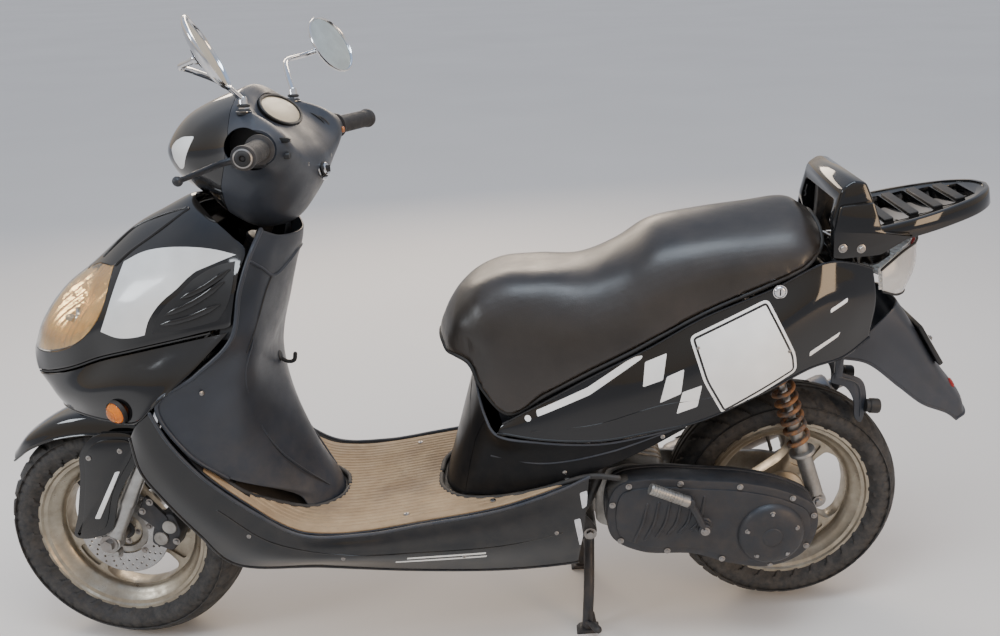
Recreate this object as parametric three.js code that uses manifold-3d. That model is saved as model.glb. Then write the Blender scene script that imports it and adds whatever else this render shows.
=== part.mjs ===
// A step-through motor scooter of the 150 cc class, standing upright on its centre stand with the rear wheel
// just clear of the ground and the steering turned a little to the right. Millimetres, +Z up. The scooter faces
// -X, so its left side faces -Y. All sizes below are in the design frame, whose x = 0 is the front axle before
// steering and whose z = 0 is the ground; the exported group is shifted so that its origin is the bottom centre
// of the whole scooter.

import * as THREE from "three";
import { mergeVertices } from "three/addons/utils/BufferGeometryUtils.js";
import Module from "manifold-3d";

const wasm = await Module();
wasm.setup();

// ---------- driving dimensions ----------
const WHEELBASE = 1363;
const TYRE_RADIUS = 243; // 130/60-13
const TYRE_HALF_WIDTH = 65;
const RIM_FLANGE_RADIUS = 179;
const RIM_HALF_WIDTH = 50;
const REAR_WHEEL_LIFT = 11; // the centre stand holds the rear wheel this far off the ground
const RAKE = THREE.MathUtils.degToRad(27);
const FORK_OFFSET = 35;
const STEER_ANGLE = THREE.MathUtils.degToRad(9); // stored turned to the right
const ORIGIN_BEHIND_FRONT_AXLE = 748;
const ORIGIN_RIGHT_OF_MIDPLANE = 5;
const PANEL = 3; // thickness of a moulded panel
const GAP = 0.5; // clearance between pieces that touch

const FLOOR_HALF_WIDTH = 184;
const MAT_THICKNESS = 4;
const BOARD_THICKNESS = 6;
const ENGINE_PIVOT = [940, 412];
const SHOCK_TOP = [1283, 672];
const SHOCK_FOOT = [1410, 292];
const SHOCK_Y = 112;
const STAND_PIVOT = [952, 206];
const SEAT_HINGE = [700, 588];
const HANDLEBAR = [446, 1032];
const LEVER_PIVOT = [398, -184, 1016];
const KICK_SHAFT = [1166, 290];

// ---------- points, curves and solids ----------
const at = (x, y, z) => new THREE.Vector3(x, y, z);
const points = (rows) => rows.map((p) => at(...p));

function bare(geometry) {
  const positions = (geometry.index ? geometry.toNonIndexed() : geometry).getAttribute("position");
  return mergeVertices(new THREE.BufferGeometry().setAttribute("position", positions), 1e-3);
}

// A closed geometry as a manifold-3d solid, turned right side out.
function solid(geometry) {
  const g = bare(geometry);
  const triVerts = new Uint32Array(g.index.array);
  const vertProperties = g.attributes.position.array;
  const make = () => new wasm.Manifold(new wasm.Mesh({ numProp: 3, vertProperties, triVerts }));
  if (make().volume() < 0) {
    for (let i = 0; i < triVerts.length; i += 3) {
      [triVerts[i + 1], triVerts[i + 2]] = [triVerts[i + 2], triVerts[i + 1]];
    }
  }
  return make();
}

function geometryOf(made) {
  const { numProp, numVert, vertProperties, triVerts } = made.getMesh();
  const position = new Float32Array(numVert * 3);
  for (let i = 0; i < numVert; i++) {
    position.set(vertProperties.subarray(i * numProp, i * numProp + 3), i * 3);
  }
  const g = new THREE.BufferGeometry().setAttribute("position", new THREE.BufferAttribute(position, 3));
  g.setIndex(new THREE.BufferAttribute(triVerts, 1));
  return g;
}

const join = (...solids) => solids.reduce((a, b) => a.add(b));
const cut = (body, ...tools) => tools.reduce((a, b) => a.subtract(b), body);
const acrossMidplane = (body) => body.mirror([0, 1, 0]);
// The largest of the bodies that a cut leaves: trimming a lofted sheet can leave slivers.
const largest = (body) => body.decompose().sort((a, b) => b.volume() - a.volume())[0];

function box(x, y, z) {
  const g = new THREE.BoxGeometry(x[1] - x[0], y[1] - y[0], z[1] - z[0]);
  return solid(g.translate((x[0] + x[1]) / 2, (y[0] + y[1]) / 2, (z[0] + z[1]) / 2));
}

// A cylinder from a to b, of radius r or tapering from r to r2.
function rod(a, b, r, sides = 16, r2 = r) {
  const from = at(...a);
  const to = at(...b);
  const g = new THREE.CylinderGeometry(r2, r, from.distanceTo(to), sides);
  const turn = new THREE.Quaternion().setFromUnitVectors(at(0, 1, 0), to.clone().sub(from).normalize());
  g.applyQuaternion(turn);
  return solid(g.translate(...from.add(to).multiplyScalar(0.5)));
}

const along = (y0, y1, [x, z], r, sides = 20) => rod([x, y0, z], [x, y1, z], r, sides);

// Two y values on one side of the midplane, or a width about a y value, in rising order.
const span = (side, a, b) => [side * a, side * b].sort((p, q) => p - q);
const about = (y, half) => [y - half, y + half];
const bothSides = (make) => [make(-1), make(1)];

// A tube along a smooth curve through the points.
function tube(path, r, steps = 12, sides = 8) {
  const section = Array.from({ length: sides }, (_, i) => {
    const a = (2 * Math.PI * i) / sides;
    return new THREE.Vector2(r * Math.cos(a), r * Math.sin(a));
  });
  const curve = new THREE.CatmullRomCurve3(points(path), false, "centripetal");
  return solid(
    new THREE.ExtrudeGeometry(new THREE.Shape(section), { steps, bevelEnabled: false, extrudePath: curve }),
  );
}

// An outline of [x, z] points pulled in towards its middle by a distance.
function shrunk(outline, by) {
  const cx = outline.reduce((a, p) => a + p[0], 0) / outline.length;
  const cz = outline.reduce((a, p) => a + p[1], 0) / outline.length;
  return outline.map(([x, z]) => {
    const k = 1 - by / Math.hypot(x - cx, z - cz);
    return [cx + (x - cx) * k, cz + (z - cz) * k];
  });
}

// A plate with this outline of [x, z] points, between two y values.
function plate(outline, y0, y1, holes = []) {
  const shape = new THREE.Shape(outline.map(([x, z]) => new THREE.Vector2(x, z)));
  for (const hole of holes) {
    shape.holes.push(new THREE.Path(hole.map(([x, z]) => new THREE.Vector2(x, z))));
  }
  const g = new THREE.ExtrudeGeometry(shape, { depth: y1 - y0, bevelEnabled: false });
  return solid(g.rotateX(Math.PI / 2).translate(0, y1, 0));
}

// A plate with this outline of [x, y] points, between two z values.
function slab(outline, z0, z1) {
  const shape = new THREE.Shape(outline.map(([x, y]) => new THREE.Vector2(x, y)));
  return solid(new THREE.ExtrudeGeometry(shape, { depth: z1 - z0, bevelEnabled: false }).translate(0, 0, z0));
}

// A body of revolution about the y axis through (x, z), from [radius, y] points that close on themselves.
function turned(profile, [x, z], segments) {
  const closed = [...profile, profile[0]].map(([r, y]) => new THREE.Vector2(r, y));
  return solid(new THREE.LatheGeometry(closed, segments).translate(x, 0, z));
}

const mirrored = (row) => [...row.slice(1).reverse().map(([x, y, z]) => [x, -y, z]), ...row];

// A grid of points over the smooth surface through the rows, each of which is a smooth curve of its own.
function surface(rows, across, lengthwise) {
  const cross = rows.map((row) => {
    const curve = new THREE.CatmullRomCurve3(points(row), false, "centripetal");
    return curve.getSpacedPoints(across);
  });
  return Array.from({ length: across + 1 }, (_, j) =>
    new THREE.CatmullRomCurve3(cross.map((row) => row[j]), false, "centripetal").getPoints(lengthwise),
  );
}

// A sheet of this thickness whose outside is the grid. The thickness is added on the side that inward points to.
function shell(grid, thickness, inward) {
  const rows = grid.length;
  const columns = grid[0].length;
  const position = [];
  const near = (list, i) => list[Math.min(Math.max(i, 0), list.length - 1)];
  const inner = grid.map((row, i) =>
    row.map((p, j) => {
      const u = near(grid, i + 1)[j].clone().sub(near(grid, i - 1)[j]);
      const v = near(row, j + 1).clone().sub(near(row, j - 1));
      const n = u.cross(v).normalize();
      if (n.dot(at(...inward(p)).sub(p)) < 0) n.negate();
      return p.clone().addScaledVector(n, thickness);
    }),
  );
  const all = [...grid, ...inner];
  const id = (i, j, side) => (i + side * rows) * columns + j;
  all.forEach((row) => row.forEach((p) => position.push(p.x, p.y, p.z)));
  const index = [];
  const quad = (a, b, c, d) => index.push(a, b, c, a, c, d);
  for (let i = 0; i < rows - 1; i++) {
    for (let j = 0; j < columns - 1; j++) {
      quad(id(i, j, 0), id(i + 1, j, 0), id(i + 1, j + 1, 0), id(i, j + 1, 0));
      quad(id(i, j, 1), id(i, j + 1, 1), id(i + 1, j + 1, 1), id(i + 1, j, 1));
    }
    quad(id(i, 0, 0), id(i, 0, 1), id(i + 1, 0, 1), id(i + 1, 0, 0));
    quad(id(i, columns - 1, 0), id(i + 1, columns - 1, 0), id(i + 1, columns - 1, 1), id(i, columns - 1, 1));
  }
  for (let j = 0; j < columns - 1; j++) {
    quad(id(0, j, 0), id(0, j + 1, 0), id(0, j + 1, 1), id(0, j, 1));
    quad(id(rows - 1, j, 0), id(rows - 1, j, 1), id(rows - 1, j + 1, 1), id(rows - 1, j + 1, 0));
  }
  const g = new THREE.BufferGeometry();
  g.setAttribute("position", new THREE.Float32BufferAttribute(position, 3));
  return solid(g.setIndex(index));
}

// A solid through closed rings of points, capped by a fan at each end.
function loft(rings) {
  const n = rings[0].length;
  const position = rings.flat().flatMap((p) => [p.x, p.y, p.z]);
  const index = [];
  for (let i = 0; i < rings.length - 1; i++) {
    for (let j = 0; j < n; j++) {
      const k = (j + 1) % n;
      index.push(i * n + j, i * n + k, (i + 1) * n + k, i * n + j, (i + 1) * n + k, (i + 1) * n + j);
    }
  }
  [0, rings.length - 1].forEach((ring, end) => {
    const middle = rings[ring].reduce((a, p) => a.add(p), at(0, 0, 0)).divideScalar(n);
    const centre = position.length / 3;
    position.push(middle.x, middle.y, middle.z);
    for (let j = 0; j < n; j++) {
      const k = (j + 1) % n;
      index.push(centre, ring * n + (end ? j : k), ring * n + (end ? k : j));
    }
  });
  const g = new THREE.BufferGeometry();
  g.setAttribute("position", new THREE.Float32BufferAttribute(position, 3));
  return solid(g.setIndex(index));
}

const towards = (x, y, z) => () => [x, y, z];

// ---------- materials ----------
const look = (color, roughness, metalness) => new THREE.MeshStandardMaterial({ color, roughness, metalness });
const GLOSS_BLACK = look(0x0b0a0a, 0.12, 0);
const MATTE_BLACK = look(0x23262c, 0.6, 0);
const SEAT_VINYL = look(0x1a1715, 0.45, 0);
const MAT_TAN = look(0x9a7550, 0.85, 0);
const CAST_BLACK = look(0x14161a, 0.5, 0.2);
const WHEEL_METAL = look(0x9c8a70, 0.35, 0.8);
const STEEL = look(0x8c8c8c, 0.35, 0.9);
const CHROME = look(0xd8d8d8, 0.08, 1);
const RUBBER = look(0x17181b, 0.9, 0);
const FRAME_PAINT = look(0x1a1a1a, 0.5, 0.3);
const CLEAR_LENS = look(0xd9d4c8, 0.08, 0);
const AMBER_LENS = look(0xd9700f, 0.2, 0);
const MIRROR_GLASS = look(0xa8b8c8, 0.03, 1);
const SPRING_PAINT = look(0x8a5a35, 0.5, 0.4);
const ALUMINIUM = look(0xc9c4ba, 0.4, 0.8);

function named(name, made, material) {
  const mesh = new THREE.Mesh(geometryOf(made), material);
  mesh.name = name;
  return mesh;
}

// A left-hand piece and its mirror image across the scooter's midplane.
function pair(name, made, material) {
  const left = named(`${name}_left`, made, material);
  const right = named(`${name}_right`, made, material);
  right.scale.y = -1;
  return [left, right];
}

// ---------- wheels ----------
const TYRE_SEGMENTS = 24;

function tyre(centre) {
  const R = TYRE_RADIUS;
  const W = TYRE_HALF_WIDTH;
  const outer = [[R, 0], [R - 4, 34], [R - 17, 59], [R - 42, W], [185, 54], [181, 44], [170, 44]];
  const inner = [[170, 36], [190, 44], [R - 22, 50], [R - 10, 0]];
  const flip = (list) => list.map(([r, y]) => [r, -y]);
  const left = [...flip(inner.slice(0, -1)).reverse(), ...flip(outer.slice(1)).reverse()];
  return turned([...outer, ...inner, ...left], centre, TYRE_SEGMENTS);
}

// Three wide spokes between three windows, on a drop-centre barrel. The angle is the middle of one spoke's.
function rim([x, z], spokeDegrees) {
  const F = RIM_FLANGE_RADIUS;
  const outside = [[F, RIM_HALF_WIDTH], [F, 46], [167, 45], [150, 26]];
  const inside = [[F - 6, RIM_HALF_WIDTH], [144, 28]];
  const flip = (list) => list.map(([r, y]) => [r, -y]);
  const section = [...outside, ...flip(outside).reverse(), ...flip(inside), ...inside.slice().reverse()];
  const barrel = turned(section, [x, z], TYRE_SEGMENTS);
  const polar = (r, degrees) => {
    const a = THREE.MathUtils.degToRad(degrees);
    return [x + r * Math.cos(a), z + r * Math.sin(a)];
  };
  const circle = Array.from({ length: TYRE_SEGMENTS }, (_, i) => polar(146, (360 * i) / TYRE_SEGMENTS));
  const outer = [[-38, 128], [-22, 137], [0, 137], [22, 137], [38, 128]];
  const inner = [[42, 96], [28, 74], [0, 66], [-28, 74], [-42, 96]];
  const windows = [60, 180, 300].map((turn) =>
    [...outer, ...inner].map(([degrees, r]) => polar(r, spokeDegrees + turn + degrees)).reverse(),
  );
  const web = plate(circle, -17, 17, windows);
  const hub = along(-36, 36, [x, z], 46, 20);
  return cut(join(barrel, web, hub), along(-60, 60, [x, z], 10 + GAP, 12));
}

// ---------- front end: everything that steers ----------
const axisFoot = at(FORK_OFFSET * Math.cos(RAKE), 0, TYRE_RADIUS - FORK_OFFSET * Math.sin(RAKE));
const axisUp = at(Math.sin(RAKE), 0, Math.cos(RAKE));
const onAxis = (height, y = 0) => {
  const s = (height - axisFoot.z) / axisUp.z;
  return [axisFoot.x + axisUp.x * s, y, height];
};
const onFork = (s, y) => [axisUp.x * s, y, TYRE_RADIUS + axisUp.z * s];
const FORK_Y = 84;

function forkYoke() {
  const yoke = plate([[165, 566], [262, 604], [250, 632], [150, 594]], -FORK_Y - 18, FORK_Y + 18);
  const stem = rod(onAxis(606), onAxis(985), 13, 12);
  const stanchions = bothSides((side) => rod(onFork(130, side * FORK_Y), onFork(398, side * FORK_Y), 13, 12));
  return join(yoke, stem, ...stanchions);
}

// The lower leg slides on its stanchion: the bore is deep enough for the whole travel.
function forkLeg(side) {
  const y = side * FORK_Y;
  const centre = [0, TYRE_RADIUS];
  const leg = join(
    rod(onFork(-22, y), onFork(258, y), 17.5, 14),
    along(...about(y, 14), centre, 20, 14),
    box([28, 62], span(side, FORK_Y - 16, FORK_Y), [352, 368]),
  );
  return cut(leg, rod(onFork(90, y), onFork(280, y), 13 + GAP, 12), along(...about(y, 30), centre, 8 + GAP, 12));
}

function frontAxle() {
  const centre = [0, TYRE_RADIUS];
  const nuts = bothSides((side) => along(...span(side, 103, 113), centre, 13, 6));
  return join(along(-110, 110, centre, 8, 12), ...nuts);
}

function brakeDisc() {
  const centre = [0, TYRE_RADIUS];
  return cut(along(-44, -40, centre, 95, 32), along(-50, -30, centre, 52, 20));
}

function brakeCaliper() {
  const body = plate([[74, 232], [118, 216], [140, 262], [128, 300], [96, 296], [80, 262]], -74, -28);
  const slot = plate([[60, 200], [105, 200], [118, 262], [100, 320], [60, 320]], -48, -36);
  const bracket = plate([[53, 297], [96, 262], [118, 290], [76, 340]], -76, -67);
  return largest(cut(join(body, bracket), slot));
}

const FENDER_RADIUS = 275;
const fenderPoint = (degrees, r, y) => {
  const a = THREE.MathUtils.degToRad(degrees);
  return [r * Math.cos(a), y, TYRE_RADIUS + r * Math.sin(a)];
};

// The mudguard arch and the two guards that cover the fork legs, moulded in one piece.
function frontFender() {
  const R = FENDER_RADIUS;
  const rows = [[143, 4, 46], [128, 18, 66], [108, 30, 76], [85, 34, 78], [58, 34, 78], [28, 26, 70]].map(
    ([degrees, drop, half]) =>
      mirrored([fenderPoint(degrees, R, 0), fenderPoint(degrees, R - 3, -half * 0.5),
        fenderPoint(degrees, R - 12, -half * 0.85), fenderPoint(degrees, R - 14 - drop, -half)]),
  );
  const arch = shell(surface(rows, 8, 10), PANEL, towards(0, 0, TYRE_RADIUS));
  const outline = [[-64, 264], [-50, 258], [-20, 262], [14, 278], [44, 357], [104, 462], [84, 486], [10, 480],
    [-24, 440], [-30, 399], [-50, 312]];
  const guardY = FORK_Y + 19;
  const guards = bothSides((side) => {
    const sheet = plate(outline, ...span(side, guardY, guardY + PANEL));
    const bridge = box([10, 92], span(side, 70, guardY + 1), [464, 478]);
    return join(sheet, bridge);
  });
  const legRoom = bothSides((side) => rod(onFork(120, side * FORK_Y), onFork(420, side * FORK_Y), 18.5));
  return largest(cut(join(arch, ...guards), ...legRoom));
}

// ---------- handlebar and its cover ----------
const GRIP_SWEEP = 40; // how far the grip's outer end sits behind its inner end
const gripPoint = (y) => {
  const t = Math.max(0, Math.abs(y) - 140) / 190;
  return [HANDLEBAR[0] - 14 + GRIP_SWEEP * t, y, HANDLEBAR[1] + 4 * t];
};

function handlebar() {
  const halfBar = [150, 175, 210, 250, 285, 322];
  const bar = tube([...halfBar.map((y) => -y).reverse(), 0, ...halfBar].map(gripPoint), 11, 26, 8);
  const [px, py, pz] = LEVER_PIVOT;
  const perches = bothSides((side) => {
    const y = about(-side * py, 6);
    const pin = rod([px, -side * py, pz - 8], [px, -side * py, pz + 8], 3, 8);
    return join(box([px - 9, 446], y, [pz - 14, pz - 7]), box([424, 446], y, [pz - 14, pz + 8]), pin);
  });
  return join(bar, rod(onAxis(988), onAxis(1024), 17, 12), ...perches);
}

// Side profiles of the handlebar cover at distances y from the middle.
const COVER_SECTIONS = [
  [0, [[195, 1011], [208, 1040], [242, 1076], [292, 1102], [342, 1120], [370, 1126], [414, 1078],
    [458, 1030], [478, 1000], [474, 962], [452, 920], [420, 884], [368, 868], [322, 886], [264, 929],
    [214, 970]]],
  [52, [[214, 1012], [226, 1040], [256, 1072], [300, 1096], [344, 1112], [368, 1118], [412, 1074],
    [456, 1032], [475, 1002], [470, 964], [446, 926], [412, 896], [366, 882], [324, 898], [276, 938],
    [230, 975]]],
  [100, [[266, 1018], [276, 1040], [298, 1064], [328, 1082], [358, 1094], [380, 1098], [418, 1070],
    [455, 1040], [474, 1014], [466, 982], [440, 954], [408, 938], [372, 930], [338, 942], [304, 965],
    [276, 990]]],
  [138, [[350, 1024], [354, 1042], [364, 1058], [380, 1070], [400, 1078], [420, 1080], [444, 1070],
    [464, 1052], [474, 1032], [470, 1010], [458, 994], [440, 984], [420, 980], [398, 982], [376, 992],
    [358, 1006]]],
  [176, [[392, 1030], [394, 1040], [400, 1050], [408, 1057], [420, 1062], [432, 1063], [446, 1060],
    [457, 1052], [464, 1040], [464, 1026], [458, 1014], [446, 1006], [432, 1003], [418, 1005], [404, 1012],
    [396, 1020]]],
];

function coverLoft(inset) {
  const ring = (y, outline) => shrunk(outline, inset).map(([x, z]) => at(x, y, z));
  const left = COVER_SECTIONS.slice(1).reverse().map(([y, outline]) => ring(-y, outline));
  return loft([...left, ...COVER_SECTIONS.map(([y, outline]) => ring(y, outline))]);
}

// The seam that parts the glossy front of the cover from its matte back runs from the hood down to the column.
function coverHalves() {
  const barHoles = bothSides((side) => {
    const [x, , z] = gripPoint(200);
    const [x0, , z0] = gripPoint(130);
    return rod([x, side * 220, z], [x0, side * 130, z0], 19);
  });
  const skin = cut(coverLoft(0), coverLoft(4), rod(onAxis(820), onAxis(940), 34), ...barHoles);
  const seam = [[356, 1150], [372, 1040], [330, 960], [300, 850]];
  const front = plate([...seam.map(([x, z]) => [x - GAP, z]), [150, 850], [150, 1150]], -250, 250);
  const back = plate([...seam.map(([x, z]) => [x + GAP, z]), [520, 850], [520, 1150]], -250, 250);
  return [largest(skin.intersect(front)), skin.intersect(back)];
}

const CLUSTER = { centre: [408, 1079], halfWidth: 74, halfHeight: 36, slope: THREE.MathUtils.degToRad(-46) };

// An elliptical pod that lies in the slope of the rear cover, dial side up.
function ellipticPod(grow, low, high) {
  const g = new THREE.CylinderGeometry(1, 1, 1, 28);
  g.scale(CLUSTER.halfHeight + grow, high - low, CLUSTER.halfWidth + grow);
  g.translate(0, (high + low) / 2, 0).rotateX(Math.PI / 2);
  return solid(g.rotateY(-CLUSTER.slope).translate(CLUSTER.centre[0], 0, CLUSTER.centre[1]));
}

const LEVER_END = [350, -300, 998];

function lever() {
  const [px, py, pz] = LEVER_PIVOT;
  const blade = tube([LEVER_PIVOT, [px - 18, py - 24, pz - 4], [px - 30, py - 66, pz - 10], LEVER_END], 5, 8, 6);
  const knob = solid(new THREE.SphereGeometry(8, 10, 6).translate(...LEVER_END));
  const boss = rod([px, py, pz - 4.5], [px, py, pz + 5], 8, 12);
  return cut(join(blade, knob, boss), rod([px, py, pz - 20], [px, py, pz + 20], 3.5, 10));
}

const MIRROR_BASE = [392, -118, 1086];
const MIRROR_CENTRE = [418, -290, 1188];
const MIRROR_RADIUS = 60;
const MIRROR_NORMAL = at(0.86, 0.25, 0.44).normalize();
const MIRROR_BALL = at(...MIRROR_CENTRE).addScaledVector(MIRROR_NORMAL, -18).toArray();

function mirrorStem() {
  const base = at(...MIRROR_BASE);
  const path = [[392, -118, 1108], [374, -148, 1136], [352, -208, 1160], [364, -268, 1168], MIRROR_BALL];
  return join(
    rod([base.x, base.y, base.z - 14], [base.x, base.y, base.z + 26], 8, 12),
    tube(path, 5, 9, 6),
    solid(new THREE.SphereGeometry(8, 10, 6).translate(...MIRROR_BALL)),
  );
}

// A round mirror: domed chrome back and a bezel, facing backwards, upwards and a little inwards.
function mirrorHead(profile) {
  const g = new THREE.LatheGeometry(profile.map(([r, h]) => new THREE.Vector2(r, h)), 20);
  g.applyQuaternion(new THREE.Quaternion().setFromUnitVectors(at(0, 1, 0), MIRROR_NORMAL));
  return solid(g.translate(...MIRROR_CENTRE));
}

// Thumb controls in the back of the cover, as [y, z]: the holes they stand in are a little larger.
const CONTROLS = { starter: [150, 1030], horn: [-148, 1017], turn: [-150, 1043] };
const CONTROL_RADIUS = 6;
const TURN_SWITCH = { half: 5, travel: 4 };

function thumbButton([y, z], grow = 0, reach = [454, 476]) {
  return rod([reach[0], y, z], [reach[1], y, z], CONTROL_RADIUS + grow, 12);
}

function turnSwitch(grow = 0, reach = [454, 480]) {
  const [y, z] = CONTROLS.turn;
  const side = TURN_SWITCH.half + (grow ? TURN_SWITCH.travel + grow : 0);
  return box(reach, [y - side, y + side], [z - 4 - grow, z + 4 + grow]);
}

function handlebarCoverRear(coverBack) {
  const [x, y] = MIRROR_BASE;
  const stemHoles = bothSides((side) => rod([x, side * y, 1040], [x, side * y, 1130], 8 + GAP, 12));
  const through = [400, 520];
  const controlHoles = [
    thumbButton(CONTROLS.starter, GAP, through),
    thumbButton(CONTROLS.horn, GAP, through),
    turnSwitch(GAP, through),
  ];
  const lockHole = rod([430, 0, 963], [500, 0, 978], 13, 16);
  return largest(cut(coverBack, ellipticPod(2, -26, 60), ...stemHoles, ...controlHoles, lockHole));
}

function grip() {
  const body = join(
    rod(gripPoint(-196), gripPoint(-324), 17, 16),
    rod(gripPoint(-193), gripPoint(-201), 24, 16),
    rod(gripPoint(-320), gripPoint(-329), 19, 16),
  );
  return cut(body, rod(gripPoint(-150), gripPoint(-340), 12.5, 12));
}

function mirrorCup() {
  const R = MIRROR_RADIUS;
  const profile = [[0, -14], [24, -13], [44, -9], [R, -1], [R, 3], [R - 4, 3], [R - 4, 0], [0, 0]];
  return cut(mirrorHead(profile), solid(new THREE.SphereGeometry(9.5, 10, 8).translate(...MIRROR_BALL)));
}

// Everything that turns with the handlebar, turned about the steering axis by the stored angle.
function steering() {
  const group = new THREE.Group();
  const steered = new THREE.Group();
  steered.position.copy(axisFoot);
  steered.quaternion.setFromAxisAngle(axisUp, -STEER_ANGLE);
  group.position.copy(axisFoot).negate();
  steered.add(group);
  const frontCentre = [0, TYRE_RADIUS];
  const [coverFront, coverBack] = coverHalves();
  const throttle = named("throttle_grip", grip(), RUBBER);
  throttle.scale.y = -1;
  group.add(
    named("fork_yoke", forkYoke(), CHROME),
    named("fork_leg_left", forkLeg(-1), ALUMINIUM),
    named("fork_leg_right", forkLeg(1), ALUMINIUM),
    named("front_axle", frontAxle(), STEEL),
    named("front_fender", frontFender(), GLOSS_BLACK),
    named("front_tyre", tyre(frontCentre), RUBBER),
    named("front_rim", rim(frontCentre, 97), WHEEL_METAL),
    named("brake_disc", brakeDisc(), STEEL),
    named("brake_caliper", brakeCaliper(), CAST_BLACK),
    named("handlebar", handlebar(), FRAME_PAINT),
    named("handlebar_cover_front", coverFront, GLOSS_BLACK),
    named("handlebar_cover_rear", handlebarCoverRear(coverBack), MATTE_BLACK),
    named("instrument_pod", ellipticPod(0, -24, 2), CLEAR_LENS),
    named("ignition_lock", rod([440, 0, 965], [487, 0, 975], 12, 16), CHROME),
    ...pair("brake_lever", lever(), CAST_BLACK),
    named("left_grip", grip(), RUBBER),
    throttle,
    ...pair("mirror_stem", mirrorStem(), CHROME),
    ...pair("mirror_head", mirrorCup(), MIRROR_GLASS),
    named("starter_button", thumbButton(CONTROLS.starter), AMBER_LENS),
    named("horn_button", thumbButton(CONTROLS.horn), MATTE_BLACK),
    named("turn_switch", turnSwitch(), MATTE_BLACK),
  );
  return steered;
}

// ---------- front bodywork ----------
// Rows run from the nose back; each goes from the centre line down to the seam above the apron, on the left.
const COWL = [
  [[-114, 0, 646], [-112, -12, 636], [-104, -30, 624], [-98, -40, 614]],
  [[-85, 0, 703], [-72, -45, 690], [-62, -66, 655], [-60, -72, 624]],
  [[-30, 0, 768], [-15, -62, 748], [-5, -98, 700], [0, -108, 645]],
  [[30, 0, 812], [48, -75, 792], [58, -120, 735], [60, -126, 668]],
  [[118, 0, 880], [122, -85, 838], [128, -142, 770], [130, -152, 690]],
  [[180, 0, 912], [196, -98, 868], [205, -155, 795], [210, -166, 710]],
  [[226, 0, 934], [256, -100, 896], [272, -158, 820], [278, -176, 728]],
  [[234, 0, 936], [276, -90, 909], [312, -140, 870], [322, -172, 812], [316, -182, 736]],
  [[240, 0, 936], [292, -92, 909], [334, -136, 887], [358, -158, 868], [345, -174, 830], [322, -185, 742]],
];
// Rows run from the seam down; each goes from the centre line back to the edge of the leg shield.
const APRON = [
  [[-110, 0, 600], [-94, -42, 606], [-58, -74, 616], [2, -110, 637], [62, -128, 660], [132, -154, 682],
    [212, -168, 702], [282, -179, 719], [316, -186, 728]],
  [[-92, 0, 570], [-66, -62, 574], [0, -120, 592], [80, -160, 612], [170, -186, 638], [238, -198, 654]],
  [[-80, 0, 545], [-52, -62, 546], [8, -116, 548], [72, -152, 549], [128, -184, 560], [176, -199, 606]],
];
// The lens covers the part of the nose that this outline of [x, z] points encloses.
const LENS_OUTLINE = [[-160, 652], [-70, 656], [-8, 676], [40, 706], [84, 762], [100, 826], [60, 822],
  [28, 806], [10, 840], [-160, 840]];

function noseCowl() {
  const skin = shell(surface(COWL.map(mirrored), 14, 10), PANEL, (p) => [p.x + 120, 0, 640]);
  const lens = skin.intersect(plate(shrunk(LENS_OUTLINE, 1), -260, 260));
  return [largest(cut(skin, plate(LENS_OUTLINE, -260, 260))), largest(lens)];
}

function apron() {
  return shell(surface(APRON.map(mirrored), 18, 5), PANEL, (p) => [p.x + 150, 0, p.z]);
}

const SIGNAL = [88, -170, 574];

function frontSignal() {
  const profile = [[0, 14], [12, 12], [19, 6], [22, 0], [22, -4], [0, -4]];
  const dome = new THREE.LatheGeometry(profile.map(([r, h]) => new THREE.Vector2(r, h)), 16);
  const facing = at(-0.5, -0.86, -0.08).normalize();
  dome.applyQuaternion(new THREE.Quaternion().setFromUnitVectors(at(0, 1, 0), facing));
  return solid(dome.translate(...SIGNAL));
}

// Rows run from the top of the leg shield down to the floor; each goes from the centre out to the left edge.
const LEG_SHIELD = [
  [[426, 0, 862], [402, -80, 872], [380, -116, 892]],
  [[420, 0, 836], [392, -98, 842], [366, -158, 858]],
  [[405, 0, 797], [378, -112, 800], [345, -178, 800]],
  [[377, 0, 712], [351, -138, 713], [322, -188, 716]],
  [[350, 0, 640], [326, -143, 640], [250, -192, 650]],
  [[354, 0, 578], [306, -146, 566], [236, -182, 584], [174, -194, 596]],
  [[372, 0, 500], [330, -105, 490], [298, -146, 474], [250, -176, 462], [214, -190, 494]],
  [[402, 0, 412], [372, -72, 405], [330, -122, 396], [296, -148, 408], [268, -166, 428]],
  [[438, 0, 328], [430, -40, 328], [406, -72, 328], [378, -92, 338]],
  [[447, 0, 296], [440, -40, 296], [418, -72, 296], [392, -92, 306]],
];

// The walking surface seen from the side, as [x, z] points of the top of the mat.
const FLOOR = [[196, 512], [229, 456], [262, 420], [309, 377], [350, 342], [394, 318], [450, 310], [510, 312],
  [621, 327], [774, 352], [889, 389], [947, 413]];

function floorBand(top, bottom, from = 0, to = FLOOR.length) {
  const part = FLOOR.slice(from, to);
  return [...part.map(([x, z]) => [x, z + top]), ...part.reverse().map(([x, z]) => [x, z + bottom])];
}

function underFloor(top) {
  return plate([...FLOOR.map(([x, z]) => [x, z + top]), [960, 100], [150, 100], [150, 512]], -260, 260);
}

function legShield() {
  const skin = shell(surface(LEG_SHIELD.map(mirrored), 12, 12), PANEL, (p) => [p.x - 200, 0, p.z]);
  return largest(cut(skin, underFloor(-MAT_THICKNESS + GAP + 0.5), rod(onAxis(850), onAxis(960), 40)));
}

const mirroredPlan = (half) => [...half, ...half.slice().reverse().map(([x, y]) => [x, -y])];
const TUNNEL_FOOT = mirroredPlan([[180, -150], [283, -158], [340, -122], [396, -92], [424, -72], [448, -42],
  [455, -8]]);
const POD_FOOT = mirroredPlan([[649, -8], [655, -60], [693, -112], [772, -146], [850, -166], [950, -188],
  [1000, -200]]);

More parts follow.
